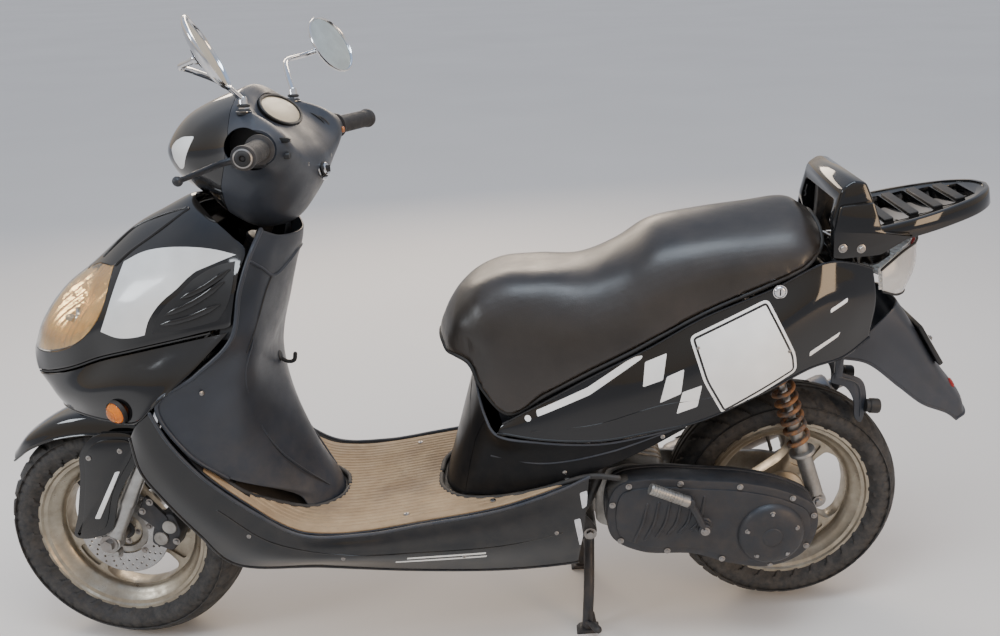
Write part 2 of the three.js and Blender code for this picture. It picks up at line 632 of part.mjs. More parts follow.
function floorBoard() {
  const top = -MAT_THICKNESS - GAP;
  const band = plate(floorBand(top, top - BOARD_THICKNESS), -FLOOR_HALF_WIDTH, FLOOR_HALF_WIDTH);
  return cut(band, slab(TUNNEL_FOOT, 200, 600), slab(POD_FOOT, 200, 600));
}

function floorMat() {
  const band = plate(floorBand(0, -MAT_THICKNESS, 1), -FLOOR_HALF_WIDTH + 3, FLOOR_HALF_WIDTH - 3);
  const behindShield = box([200, 300], [-164, 164], [380, 500]);
  return cut(band, slab(TUNNEL_FOOT, 200, 600), slab(POD_FOOT, 200, 600), behindShield);
}

// Rows run from the front end of the skirt back; each goes from the floor's edge down to the lower edge.
const SKIRT = [
  [[160, -200, 584], [128, -192, 556], [106, -176, 524]],
  [[182, -200, 526], [150, -197, 498], [115, -180, 456]],
  [[231, -200, 452], [187, -199, 424], [148, -182, 396]],
  [[311, -199, 374], [256, -201, 345], [198, -179, 318]],
  [[396, -198, 316], [340, -203, 284], [252, -168, 240]],
  [[510, -197, 310], [480, -204, 268], [420, -166, 222]],
  [[621, -197, 325], [612, -205, 272], [590, -168, 206]],
  [[774, -198, 350], [772, -208, 284], [762, -170, 198]],
  [[889, -198, 387], [880, -208, 304], [860, -172, 202]],
  [[945, -194, 411], [934, -202, 312], [921, -170, 206]],
];

function sideSkirt() {
  return shell(surface(SKIRT, 4, 10), PANEL, (p) => [p.x + 20, 0, p.z + 10]);
}

// ---------- rear bodywork ----------
// Rows run upwards; each goes from the centre of the pod's front back along its left side.
const POD = [
  [[657, 0, 318], [663, -55, 320], [700, -104, 331], [775, -136, 347], [852, -157, 372], [948, -176, 408],
    [1043, -182, 452], [1128, -185, 500]],
  [[690, 0, 430], [698, -60, 430], [735, -112, 432], [800, -145, 440], [880, -165, 448], [968, -177, 462],
    [1050, -183, 480], [1128, -185, 503]],
  [[733, 0, 576], [735, -55, 573], [740, -96, 556], [752, -126, 516], [772, -150, 486], [855, -169, 475],
    [968, -178, 471], [1050, -183, 486], [1128, -185, 506]],
];
// Rows run from the front tip back; each goes from the edge under the seat down to the lower edge.
const SIDE_COVER = [
  [[786, -150, 508], [780, -152, 500], [776, -153, 491]],
  [[860, -160, 551], [862, -168, 518], [860, -172, 482]],
  [[960, -164, 606], [965, -176, 545], [968, -180, 479]],
  [[1060, -163, 655], [1062, -180, 580], [1055, -185, 494]],
  [[1160, -158, 708], [1160, -180, 620], [1155, -185, 514]],
  [[1290, -150, 757], [1290, -170, 680], [1275, -171, 560]],
  [[1385, -138, 798], [1385, -152, 715], [1370, -143, 594]],
  [[1440, -122, 792], [1445, -132, 715], [1440, -118, 604]],
  [[1486, -106, 774], [1496, -108, 715], [1492, -100, 634]],
];
// Rows run from the nose of the seat back; each goes from the centre line over the ridge to the lower edge.
const SEAT = [
  [[660, 0, 652], [662, -30, 648], [668, -52, 640], [674, -62, 624]],
  [[668, 0, 678], [674, -45, 672], [684, -80, 655], [696, -92, 625]],
  [[700, 0, 722], [708, -60, 714], [716, -98, 690], [722, -112, 618]],
  [[742, 0, 756], [748, -70, 750], [752, -112, 716], [748, -130, 568]],
  [[800, 0, 776], [800, -80, 768], [800, -122, 720], [796, -150, 524]],
  [[868, 0, 778], [868, -92, 768], [868, -134, 710], [866, -160, 565]],
  [[950, 0, 782], [950, -98, 764], [950, -140, 710], [950, -165, 610]],
  [[1024, 0, 816], [1024, -98, 788], [1024, -140, 735], [1024, -165, 646]],
  [[1082, 0, 852], [1084, -100, 822], [1086, -142, 765], [1086, -162, 677]],
  [[1174, 0, 870], [1176, -104, 838], [1178, -142, 790], [1178, -157, 722]],
  [[1270, 0, 882], [1272, -104, 846], [1274, -140, 804], [1274, -151, 760]],
  [[1344, 0, 890], [1350, -94, 854], [1354, -128, 822], [1356, -141, 796]],
  [[1392, 0, 872], [1396, -70, 850], [1394, -102, 826], [1388, -112, 812]],
];

function seatCushion() {
  return shell(surface(SEAT.map(mirrored), 12, 12), 26, (p) => [p.x * 0.96 + 40, 0, p.z - 150]);
}

// The seat pan is the seat's own lower line, pulled in far enough to sit inside the cushion.
function seatPan() {
  const sections = [[745, 604, 78], [800, 622, 104], [868, 634, 118], [950, 660, 122], [1024, 686, 122],
    [1086, 716, 122], [1178, 758, 118], [1274, 796, 108], [1335, 820, 86]];
  const rows = sections.map(([x, z, half]) => mirrored([[x, 0, z], [x, -half * 0.6, z], [x, -half, z - 4]]));
  return shell(surface(rows, 6, 10), 4, (p) => [p.x, p.y, p.z - 500]);
}

const TUB_OUTLINE = [[786, 470], [1150, 470], [1240, 590], [1262, 700], [1178, 690], [1086, 650], [1024, 622],
  [950, 596], [868, 572], [800, 556], [770, 540]];
const TUB_HALF_WIDTH = 98;

function storageTub() {
  const inside = [[790, 474], [1148, 474], [1236, 592], [1258, 720], [1150, 760], [770, 640], [774, 543]];
  const outer = plate(TUB_OUTLINE, ...about(0, TUB_HALF_WIDTH));
  return cut(outer, plate(inside, ...about(0, TUB_HALF_WIDTH - 4)));
}

function tailLamp() {
  const rows = [
    [[1602, 0, 806], [1588, -40, 803], [1548, -82, 797], [1505, -98, 768]],
    [[1602, 0, 755], [1590, -42, 753], [1556, -84, 750], [1508, -101, 745]],
    [[1584, 0, 702], [1574, -40, 704], [1546, -76, 710], [1512, -96, 724]],
  ];
  return shell(surface(rows.map(mirrored), 12, 4), 14, towards(1440, 0, 750));
}

const TAIL_COVER = [
  [[1404, 0, 818], [1404, -70, 812], [1404, -118, 796]],
  [[1450, 0, 802], [1450, -64, 798], [1450, -108, 788]],
  [[1500, 0, 790], [1498, -54, 786], [1492, -90, 778]],
  [[1540, 0, 796], [1535, -40, 794], [1526, -72, 790]],
];

const REAR_FENDER = [
  [[1556, 0, 692], [1552, -66, 688], [1500, -84, 640], [1442, -88, 588]],
  [[1588, 0, 652], [1580, -66, 646], [1540, -76, 606], [1500, -80, 572]],
  [[1632, 0, 590], [1625, -60, 580], [1600, -66, 545], [1575, -68, 512]],
  [[1676, 0, 530], [1666, -54, 522], [1648, -58, 495], [1630, -60, 468]],
  [[1722, 0, 472], [1712, -45, 466], [1700, -48, 452], [1688, -50, 440]],
  [[1738, 0, 434], [1728, -38, 430], [1720, -40, 425], [1712, -42, 420]],
];

// ---------- luggage rack ----------
const RACK_SLOPE = Math.atan2(46, 215);
const RACK_PIVOT = [1460, 846];

function rearRack() {
  const tilt = (made) => {
    const g = geometryOf(made).translate(-RACK_PIVOT[0], 0, -RACK_PIVOT[1]).rotateY(-RACK_SLOPE);
    return solid(g.translate(RACK_PIVOT[0], 0, RACK_PIVOT[1]));
  };
  const outline = mirroredPlan([[1450, -118], [1560, -114], [1630, -98], [1690, -72], [1725, -38], [1736, -4]]);
  const slots = [[1482, 88], [1530, 86], [1578, 80], [1626, 66], [1672, 44]].map(([x, half]) =>
    box([x, x + 24], about(0, half), [800, 870]),
  );
  const tray = tilt(cut(slab(outline, 826, 848), ...slots));
  const hoopSide = [[1405, 842], [1398, 868], [1412, 930], [1432, 944], [1456, 940], [1474, 902], [1480, 842]];
  const hoopRoom = plate([[1440, 800], [1440, 905], [1600, 905], [1600, 800]], ...about(0, 96));
  const hoop = cut(plate(hoopSide, ...about(0, 118)), hoopRoom);
  const legSide = [[1402, 800], [1400, 850], [1410, 900], [1470, 905], [1490, 850], [1550, 842], [1490, 806]];
  const legs = bothSides((side) => plate(legSide, ...span(side, 118, 128)));
  const posts = bothSides((side) => box([1418, 1452], about(side * 60, 12), [822, 900]));
  return largest(join(tray, hoop, ...legs, ...posts));
}

// ---------- frame ----------
// One side of the frame: a rail that runs under the floor, up round the engine and back to the tail.
const RAIL = [[440, 20, 262], [480, 76, 256], [560, 104, 256], [700, 108, 258], [850, 109, 262],
  [920, 124, 290], [985, 136, 430], [1060, 138, 560], [1180, 132, 652], [1283, 126, 716], [1420, 92, 764]];
const SPINE = [[262, 0, 690], [296, 0, 600], [312, 0, 470], [345, 0, 350], [420, 0, 272], [500, 0, 258]];

function frameEars(side) {
  const stand = [[880, 262], [900, 240], [940, 190], [966, 196], [964, 222], [920, 282]];
  const engine = [[922, 395], [955, 394], [985, 420], [975, 446], [940, 432]];
  const shock = [[1264, 656], [1298, 656], [1306, 724], [1264, 706]];
  return join(
    plate(stand, ...about(side * 66, 4)),
    plate(engine, ...about(side * 122, 6)),
    plate(shock, ...about(side * 134, 3)),
    along(...span(side, 88, 136), SHOCK_TOP, 6, 12),
  );
}

function frame() {
  const head = rod(onAxis(646), onAxis(846), 26, 14);
  const spine = tube(SPINE, 20, 14, 10);
  const rails = bothSides((side) => tube(RAIL.map(([x, y, z]) => [x, side * y, z]), 13, 18, 8));
  const cross = [[560, 256], [905, 272]].map((p) => along(-110, 110, p, 11, 10));
  const tailCross = along(-96, 96, [1412, 762], 9, 10);
  const engineBolt = along(-118, 118, ENGINE_PIVOT, 8, 12);
  const standBolt = along(-66, 66, STAND_PIVOT, 8, 12);
  const ears = bothSides(frameEars);
  const whole = join(head, spine, ...rails, ...cross, tailCross, engineBolt, standBolt, ...ears);
  return cut(whole, rod(onAxis(600), onAxis(900), 14, 12));
}

// ---------- centre stand ----------
function centreStand() {
  const [px, pz] = STAND_PIVOT;
  const legs = bothSides((side) => {
    const path = [[px, 42, pz], [px - 1, 46, pz - 30], [px - 6, 94, 96], [px - 12, 116, 10]];
    return tube(path.map(([x, y, z]) => [x, side * y, z]), 11, 6, 8);
  });
  const feet = bothSides((side) => box([px - 36, px + 12], about(side * 116, 15), [0, 9]));
  const sleeve = along(-60, 60, STAND_PIVOT, 15, 14);
  const brace = along(-72, 72, [px - 4, 136], 7, 8);
  return cut(join(sleeve, brace, ...legs, ...feet), along(-70, 70, STAND_PIVOT, 8 + GAP, 12));
}

// ---------- engine unit ----------
const REAR_CENTRE = [WHEELBASE, TYRE_RADIUS + REAR_WHEEL_LIFT];
const CVT_OUTLINE = [[980, 345], [988, 268], [1047, 232], [1148, 222], [1215, 198], [1299, 184], [1368, 212],
  [1394, 268], [1384, 320], [1335, 352], [1246, 378], [1160, 388], [1070, 396], [1000, 384]];

// The hanger that swings on the engine bolt and the lug that carries the shock's foot, on one side.
function engineMounts(side) {
  const hanger = [[925, 400], [955, 400], [1010, 350], [985, 330]];
  const lug = [[1370, 240], [1420, 276], [1424, 300], [1398, 306], [1370, 290]];
  return join(
    along(...span(side, 84, 106), ENGINE_PIVOT, 20, 16),
    plate(hanger, ...span(side, 84, 92)),
    along(...span(side, 88, 126), SHOCK_FOOT, 6, 12),
    plate(lug, ...span(side, 80, 91)),
  );
}

function engineCase() {
  const block = [[962, 252], [1000, 236], [1100, 236], [1108, 300], [1100, 372], [1030, 388], [962, 370]];
  const leftArm = [[1040, 244], [1180, 232], [1300, 214], [1372, 226], [1378, 270], [1340, 330], [1200, 352],
    [1040, 366]];
  const rightArm = [[1060, 250], [1200, 240], [1360, 226], [1398, 250], [1400, 286], [1340, 300], [1200, 306],
    [1060, 320]];
  const whole = join(
    plate(block, -104, 92),
    plate(leftArm, -128, -74),
    plate(rightArm, 80, 92),
    ...bothSides(engineMounts),
    along(-80, 98, REAR_CENTRE, 9, 12),
    along(92, 106, REAR_CENTRE, 14, 6),
  );
  return cut(whole, along(-120, 120, ENGINE_PIVOT, 8 + GAP, 12));
}

function cvtCover() {
  const profile = [[0, 6], [64, 6], [64, -6], [57, -13], [40, -16], [0, -17]];
  const cap = new THREE.LatheGeometry(profile.map(([r, h]) => new THREE.Vector2(r, h)), 24);
  return join(plate(CVT_OUTLINE, -192, -128 - GAP), solid(cap.translate(1299, -192, 266)));
}

// The forced-air cowling wraps the cylinder and covers the fan on the right side of the engine.
function coolingShroud() {
  const outline = [[815, 294], [960 - GAP, 294], [960 - GAP, 356], [850, 348], [815, 336]];
  return join(plate(outline, -84, 106), along(92 + GAP, 106, [1010, 308], 64, 24));
}

function muffler() {
  const pipe = tube([[832, 60, 278], [842, 92, 226], [936, 128, 196], [1080, 170, 202], [1160, 180, 226]],
    14, 12, 8);
  const body = rod([1140, 180, 216], [1520, 180, 392], 46, 18);
  const tail = rod([1505, 180, 400], [1560, 180, 424], 14, 12);
  const bracket = plate([[1180, 240], [1240, 244], [1250, 290], [1190, 280]], 92 + GAP, 150);
  return join(pipe, body, tail, bracket);
}

function kickLever() {
  const [x, z] = KICK_SHAFT;
  const elbow = [x - 33, z + 70];
  return join(
    along(-212, -193, KICK_SHAFT, 10, 12),
    tube([[x, -206, z], [x - 16, -210, z + 36], [elbow[0], -214, elbow[1]]], 6.5, 5, 6),
    rod([elbow[0], -218, elbow[1]], [x - 109, -222, z + 106], 11, 12),
    along(-226, -205, elbow, 9, 12),
  );
}

// ---------- rear shock absorbers ----------
const shockDirection = at(SHOCK_FOOT[0] - SHOCK_TOP[0], 0, SHOCK_FOOT[1] - SHOCK_TOP[1]).normalize();
const onShock = (s) => [SHOCK_TOP[0] + shockDirection.x * s, -SHOCK_Y, SHOCK_TOP[1] + shockDirection.z * s];
const SHOCK_LENGTH = Math.hypot(SHOCK_FOOT[0] - SHOCK_TOP[0], SHOCK_FOOT[1] - SHOCK_TOP[1]);
const SPRING = { from: 96, to: 276, radius: 21, wire: 4.5, turns: 7 };

function shockBody() {
  const body = join(
    along(...about(-SHOCK_Y, 13), SHOCK_TOP, 15, 12),
    rod(onShock(8), onShock(70), 15),
    rod(onShock(60), onShock(90), 26, 16),
    rod(onShock(70), onShock(205), 9, 8),
  );
  return cut(body, along(...about(-SHOCK_Y, 30), SHOCK_TOP, 6 + GAP, 10));
}

function shockFoot() {
  const body = join(
    along(...about(-SHOCK_Y, 10), SHOCK_FOOT, 17, 14),
    rod(onShock(288), onShock(SHOCK_LENGTH - 12), 16),
    rod(onShock(283), onShock(290), 26, 16),
    rod(onShock(215), onShock(300), 14.5, 12),
  );
  return cut(body, rod(onShock(120), onShock(296), 10, 12), along(...about(-SHOCK_Y, 30), SHOCK_FOOT, 9.5, 10));
}

function spring() {
  const { from, to, radius, wire, turns } = SPRING;
  const side = at(0, 1, 0);
  const other = shockDirection.clone().cross(side);
  const steps = turns * 7;
  const path = Array.from({ length: steps + 1 }, (_, i) => {
    const a = (2 * Math.PI * turns * i) / steps;
    const p = at(...onShock(from + wire + ((to - from - 2 * wire) * i) / steps));
    p.addScaledVector(side, radius * Math.cos(a)).addScaledVector(other, radius * Math.sin(a));
    return p.toArray();
  });
  return tube(path, wire, steps, 5);
}

// ---------- the whole scooter ----------
function podCover() {
  const skin = shell(surface(POD.map(mirrored), 20, 5), PANEL, (p) => [p.x + 200, 0, p.z]);
  return largest(cut(skin, underFloor(-MAT_THICKNESS + GAP + 0.5)));
}

function tailCover() {
  return shell(surface(TAIL_COVER.map(mirrored), 8, 4), PANEL, towards(1460, 0, 0));
}

function rearFender() {
  return shell(surface(REAR_FENDER.map(mirrored), 10, 8), PANEL, (p) => [p.x - 200, 0, p.z - 160]);
}

function scooter() {
  const group = new THREE.Group();
  const [cowl, lens] = noseCowl();
  const sideCover = shell(surface(SIDE_COVER, 4, 10), PANEL, (p) => [p.x, 0, p.z]);
  const seatLock = along(-157, -146, [1300, 752], 11, 14);
  group.add(
    named("frame", frame(), FRAME_PAINT),
    named("nose_cowl", cowl, GLOSS_BLACK),
    named("headlight_lens", lens, CLEAR_LENS),
    named("front_apron", apron(), GLOSS_BLACK),
    ...pair("front_signal", frontSignal(), AMBER_LENS),
    named("leg_shield", legShield(), MATTE_BLACK),
    named("floor_board", floorBoard(), MATTE_BLACK),
    named("floor_mat", floorMat(), MAT_TAN),
    ...pair("side_skirt", sideSkirt(), GLOSS_BLACK),
    named("pod_cover", podCover(), MATTE_BLACK),
    named("side_cover_left", join(sideCover, seatLock), GLOSS_BLACK),
    named("side_cover_right", acrossMidplane(sideCover), GLOSS_BLACK),
    named("storage_tub", storageTub(), MATTE_BLACK),
    named("seat_cushion", seatCushion(), SEAT_VINYL),
    named("seat_pan", seatPan(), MATTE_BLACK),
    named("tail_cover", tailCover(), GLOSS_BLACK),
    named("tail_lamp", tailLamp(), CLEAR_LENS),
    named("rear_fender", rearFender(), MATTE_BLACK),
    named("rear_rack", rearRack(), GLOSS_BLACK),
    named("centre_stand", centreStand(), CAST_BLACK),
    named("engine_case", engineCase(), CAST_BLACK),
    named("cvt_cover", cvtCover(), CAST_BLACK),
    named("cooling_shroud", coolingShroud(), MATTE_BLACK),
    named("muffler", muffler(), STEEL),
    named("kick_lever", kickLever(), ALUMINIUM),
    named("rear_tyre", tyre(REAR_CENTRE), RUBBER),
    named("rear_rim", rim(REAR_CENTRE, 65), WHEEL_METAL),
    ...pair("shock_body", shockBody(), STEEL),
    ...pair("shock_foot", shockFoot(), STEEL),
    ...pair("shock_spring", spring(), SPRING_PAINT),
    steering(),
  );
  group.position.set(-ORIGIN_BEHIND_FRONT_AXLE, -ORIGIN_RIGHT_OF_MIDPLANE, 0);
  return new THREE.Group().add(group);
}

export default scooter();
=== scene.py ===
"""The looks of a step-through motor scooter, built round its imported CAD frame.

Shapes are worked out in the design frame, in millimetres: x = 0 is the front axle before steering, +X points
to the tail, the left side is -Y and z = 0 is the ground. Everything that steers is turned about the steering
axis, and every piece is then shifted to the row frame and scaled to metres.
"""

import math

import bmesh
import bpy
import numpy as np
from mathutils import Matrix, Vector
from mathutils.bvhtree import BVHTree


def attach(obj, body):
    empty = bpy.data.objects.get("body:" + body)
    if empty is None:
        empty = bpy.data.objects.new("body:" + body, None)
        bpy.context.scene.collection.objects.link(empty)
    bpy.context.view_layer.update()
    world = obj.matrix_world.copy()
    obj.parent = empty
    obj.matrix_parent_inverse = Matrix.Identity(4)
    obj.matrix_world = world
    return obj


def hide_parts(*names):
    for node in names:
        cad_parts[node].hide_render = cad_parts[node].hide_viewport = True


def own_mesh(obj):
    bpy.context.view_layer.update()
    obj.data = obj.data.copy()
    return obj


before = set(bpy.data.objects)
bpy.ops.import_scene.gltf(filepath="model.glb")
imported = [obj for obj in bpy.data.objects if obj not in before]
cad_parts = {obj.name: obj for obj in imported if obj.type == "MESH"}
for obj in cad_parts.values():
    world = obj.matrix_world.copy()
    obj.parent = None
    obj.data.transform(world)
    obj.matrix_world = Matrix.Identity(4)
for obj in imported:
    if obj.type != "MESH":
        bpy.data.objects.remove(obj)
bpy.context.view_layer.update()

# ---------- driving dimensions, the same as the CAD part's ----------
WHEELBASE = 1363
TYRE_RADIUS = 243
REAR_WHEEL_LIFT = 11
RAKE = math.radians(27)
FORK_OFFSET = 35
STEER_ANGLE = math.radians(9)
SHIFT = np.array([-748.0, -5.0, 0.0])
PANEL = 3.0
ENGINE_PIVOT = (940, 412)
SHOCK_TOP = np.array([1283.0, -112.0, 672.0])
SHOCK_FOOT = np.array([1410.0, -112.0, 292.0])
STAND_PIVOT = (952, 206)
FORK_Y = 84
FENDER_RADIUS = 275
LEVER_PIVOT = (398, -184, 1016)
LEVER_END = (350, -300, 998)
KICK_SHAFT = (1166, 290)
MIRROR_BASE = (392, -118, 1086)
MIRROR_CENTRE = np.array([418.0, -290.0, 1188.0])
MIRROR_RADIUS = 60
MIRROR_NORMAL = np.array([0.86, 0.25, 0.44]) / np.linalg.norm([0.86, 0.25, 0.44])
SIGNAL = (88, -170, 574)
FRONT_CENTRE = (0, TYRE_RADIUS)
REAR_CENTRE = (WHEELBASE, TYRE_RADIUS + REAR_WHEEL_LIFT)
AXIS_FOOT = np.array([FORK_OFFSET * math.cos(RAKE), 0, TYRE_RADIUS - FORK_OFFSET * math.sin(RAKE)])
AXIS_UP = np.array([math.sin(RAKE), 0, math.cos(RAKE)])
STEER = np.array(Matrix.Rotation(-STEER_ANGLE, 3, Vector(AXIS_UP)))

MAT_THICKNESS = 4
MAT_HALF_WIDTH = 181
RIB_SPACING = 12

# ---------- the rows that the bodywork is drawn through, as in the CAD part ----------
COWL = [
    [(-114, 0, 646), (-112, -12, 636), (-104, -30, 624), (-98, -40, 614)],
    [(-85, 0, 703), (-72, -45, 690), (-62, -66, 655), (-60, -72, 624)],
    [(-30, 0, 768), (-15, -62, 748), (-5, -98, 700), (0, -108, 645)],
    [(30, 0, 812), (48, -75, 792), (58, -120, 735), (60, -126, 668)],
    [(118, 0, 880), (122, -85, 838), (128, -142, 770), (130, -152, 690)],
    [(180, 0, 912), (196, -98, 868), (205, -155, 795), (210, -166, 710)],
    [(226, 0, 934), (256, -100, 896), (272, -158, 820), (278, -176, 728)],
    [(234, 0, 936), (276, -90, 909), (312, -140, 870), (322, -172, 812), (316, -182, 736)],
    [(240, 0, 936), (292, -92, 909), (334, -136, 887), (358, -158, 868), (345, -174, 830), (322, -185, 742)],
]
APRON = [
    [(-110, 0, 600), (-94, -42, 606), (-58, -74, 616), (2, -110, 637), (62, -128, 660), (132, -154, 682),
     (212, -168, 702), (282, -179, 719), (316, -186, 728)],
    [(-92, 0, 570), (-66, -62, 574), (0, -120, 592), (80, -160, 612), (170, -186, 638), (238, -198, 654)],
    [(-80, 0, 545), (-52, -62, 546), (8, -116, 548), (72, -152, 549), (128, -184, 560), (176, -199, 606)],
]
LENS_EDGES = [[(-160, 652), (-70, 656), (-8, 676), (40, 706), (84, 762), (100, 826)],
              [(100, 826), (60, 822), (28, 806)],
              [(28, 806), (10, 840)],
              [(10, 840), (-160, 840)]]
LEG_SHIELD = [
    [(426, 0, 862), (402, -80, 872), (380, -116, 892)],
    [(420, 0, 836), (392, -98, 842), (366, -158, 858)],
    [(405, 0, 797), (378, -112, 800), (345, -178, 800)],
    [(377, 0, 712), (351, -138, 713), (322, -188, 716)],
    [(350, 0, 640), (326, -143, 640), (250, -192, 650)],
    [(354, 0, 578), (306, -146, 566), (236, -182, 584), (174, -194, 596)],
    [(372, 0, 500), (330, -105, 490), (298, -146, 474), (250, -176, 462), (214, -190, 494)],
    [(402, 0, 412), (372, -72, 405), (330, -122, 396), (296, -148, 408), (268, -166, 428)],
    [(438, 0, 328), (430, -40, 328), (406, -72, 328), (378, -92, 338)],
    [(447, 0, 296), (440, -40, 296), (418, -72, 296), (392, -92, 306)],
]
FLOOR = [(196, 512), (229, 456), (262, 420), (309, 377), (350, 342), (394, 318), (450, 310), (510, 312),
         (621, 327), (774, 352), (889, 389), (947, 413)]
SKIRT = [
    [(160, -200, 584), (128, -192, 556), (106, -176, 524)],
    [(182, -200, 526), (150, -197, 498), (115, -180, 456)],
    [(231, -200, 452), (187, -199, 424), (148, -182, 396)],
    [(311, -199, 374), (256, -201, 345), (198, -179, 318)],
    [(396, -198, 316), (340, -203, 284), (252, -168, 240)],
    [(510, -197, 310), (480, -204, 268), (420, -166, 222)],
    [(621, -197, 325), (612, -205, 272), (590, -168, 206)],
    [(774, -198, 350), (772, -208, 284), (762, -170, 198)],
    [(889, -198, 387), (880, -208, 304), (860, -172, 202)],
    [(945, -194, 411), (934, -202, 312), (921, -170, 206)],
]
POD = [
    [(657, 0, 318), (663, -55, 320), (700, -104, 331), (775, -136, 347), (852, -157, 372), (948, -176, 408),
     (1043, -182, 452), (1128, -185, 500)],
    [(690, 0, 430), (698, -60, 430), (735, -112, 432), (800, -145, 440), (880, -165, 448), (968, -177, 462),
     (1050, -183, 480), (1128, -185, 503)],
    [(733, 0, 576), (735, -55, 573), (740, -96, 556), (752, -126, 516), (772, -150, 486), (855, -169, 475),
     (968, -178, 471), (1050, -183, 486), (1128, -185, 506)],
]
SIDE_COVER = [
    [(786, -150, 508), (780, -152, 500), (776, -153, 491)],
    [(860, -160, 551), (862, -168, 518), (860, -172, 482)],
    [(960, -164, 606), (965, -176, 545), (968, -180, 479)],
    [(1060, -163, 655), (1062, -180, 580), (1055, -185, 494)],
    [(1160, -158, 708), (1160, -180, 620), (1155, -185, 514)],
    [(1290, -150, 757), (1290, -170, 680), (1275, -171, 560)],
    [(1385, -138, 798), (1385, -152, 715), (1370, -143, 594)],
    [(1440, -122, 792), (1445, -132, 715), (1440, -118, 604)],
    [(1486, -106, 774), (1496, -108, 715), (1492, -100, 634)],
]
SEAT = [
    [(660, 0, 652), (662, -30, 648), (668, -52, 640), (674, -62, 624)],
    [(668, 0, 678), (674, -45, 672), (684, -80, 655), (696, -92, 625)],
    [(700, 0, 722), (708, -60, 714), (716, -98, 690), (722, -112, 618)],
    [(742, 0, 756), (748, -70, 750), (752, -112, 716), (748, -130, 568)],
    [(800, 0, 776), (800, -80, 768), (800, -122, 720), (796, -150, 524)],
    [(868, 0, 778), (868, -92, 768), (868, -134, 710), (866, -160, 565)],
    [(950, 0, 782), (950, -98, 764), (950, -140, 710), (950, -165, 610)],
    [(1024, 0, 816), (1024, -98, 788), (1024, -140, 735), (1024, -165, 646)],
    [(1082, 0, 852), (1084, -100, 822), (1086, -142, 765), (1086, -162, 677)],
    [(1174, 0, 870), (1176, -104, 838), (1178, -142, 790), (1178, -157, 722)],
    [(1270, 0, 882), (1272, -104, 846), (1274, -140, 804), (1274, -151, 760)],
    [(1344, 0, 890), (1350, -94, 854), (1354, -128, 822), (1356, -141, 796)],
    [(1392, 0, 872), (1396, -70, 850), (1394, -102, 826), (1388, -112, 812)],
]
TAIL_COVER = [
    [(1404, 0, 818), (1404, -70, 812), (1404, -118, 796)],
    [(1450, 0, 802), (1450, -64, 798), (1450, -108, 788)],
    [(1500, 0, 790), (1498, -54, 786), (1492, -90, 778)],
    [(1540, 0, 796), (1535, -40, 794), (1526, -72, 790)],
]
REAR_FENDER = [
    [(1556, 0, 692), (1552, -66, 688), (1500, -84, 640), (1442, -88, 588)],
    [(1588, 0, 652), (1580, -66, 646), (1540, -76, 606), (1500, -80, 572)],
    [(1632, 0, 590), (1625, -60, 580), (1600, -66, 545), (1575, -68, 512)],
    [(1676, 0, 530), (1666, -54, 522), (1648, -58, 495), (1630, -60, 468)],
    [(1722, 0, 472), (1712, -45, 466), (1700, -48, 452), (1688, -50, 440)],
    [(1738, 0, 434), (1728, -38, 430), (1720, -40, 425), (1712, -42, 420)],
]
RAIL = [(440, 20, 262), (480, 76, 256), (560, 104, 256), (700, 108, 258), (850, 109, 262), (920, 124, 290),
        (985, 136, 430), (1060, 138, 560), (1180, 132, 652), (1283, 126, 716), (1420, 92, 764)]
SPINE = [(262, 0, 690), (296, 0, 600), (312, 0, 470), (345, 0, 350), (420, 0, 272), (500, 0, 258)]
CVT_OUTLINE = [(980, 345), (988, 268), (1047, 232), (1148, 222), (1215, 198), (1299, 184), (1368, 212),
               (1394, 268), (1384, 320), (1335, 352), (1246, 378), (1160, 388), (1070, 396), (1000, 384)]
TUNNEL_FOOT = [(180, -150), (283, -158), (340, -122), (396, -92), (424, -72), (448, -42), (455, -8)]
POD_FOOT = [(649, -8), (655, -60), (693, -112), (772, -146), (850, -166), (950, -188), (1000, -200)]


# ---------- curves ----------
def catmull(points, t):
    """Points of the centripetal curve through points, one unit of t to each span."""
    p = np.asarray(points, float)
    ends = np.concatenate([[2 * p[0] - p[1]], p, [2 * p[-1] - p[-2]]])
    t = np.asarray(t, float)
    i = np.clip(np.floor(t).astype(int), 0, len(p) - 2)
    w = (t - i).reshape((-1,) + (1,) * (p.ndim - 1))
    a, b, c, d = ends[i], ends[i + 1], ends[i + 2], ends[i + 3]

    def knot(u, v):
        return np.maximum(np.linalg.norm(v - u, axis=-1, keepdims=True) ** 0.5, 1e-4)

    ab, bc, cd = knot(a, b), knot(b, c), knot(c, d)
    m1 = ((b - a) / ab - (c - a) / (ab + bc) + (c - b) / bc) * bc
    m2 = ((c - b) / bc - (d - b) / (bc + cd) + (d - c) / cd) * bc
    w2, w3 = w**2, w**3
    return (2 * w3 - 3 * w2 + 1) * b + (w3 - 2 * w2 + w) * m1 + (3 * w2 - 2 * w3) * c + (w3 - w2) * m2


def spaced(points, fractions):
    """Points at these fractions of the smooth curve's length."""
    t = np.linspace(0, len(points) - 1, 30 * (len(points) - 1) + 1)
    fine = catmull(points, t)
    length = np.concatenate([[0], np.cumsum(np.linalg.norm(np.diff(fine, axis=0), axis=1))])
    return catmull(points, np.interp(np.asarray(fractions) * length[-1], length, t))


def smooth(points, count):
    return spaced(points, np.linspace(0, 1, count))


def closed_smooth(outline, count):
    """A closed outline as a smooth loop of this many points."""
    ring = np.asarray(outline, float)
    n = len(ring)
    t = np.linspace(0, n, count, endpoint=False)
    return catmull(np.concatenate([ring[-3:], ring, ring[:4]]), t + 3)


def closed_path(loop, count):
    """Evenly spaced points round a closed loop in space, its corners eased."""
    ring = smooth(np.concatenate([loop, loop[:1]]), count + 1)[:-1]
    for _ in range(6):
        ring = (np.roll(ring, 1, axis=0) + 2 * ring + np.roll(ring, -1, axis=0)) / 4
    return ring


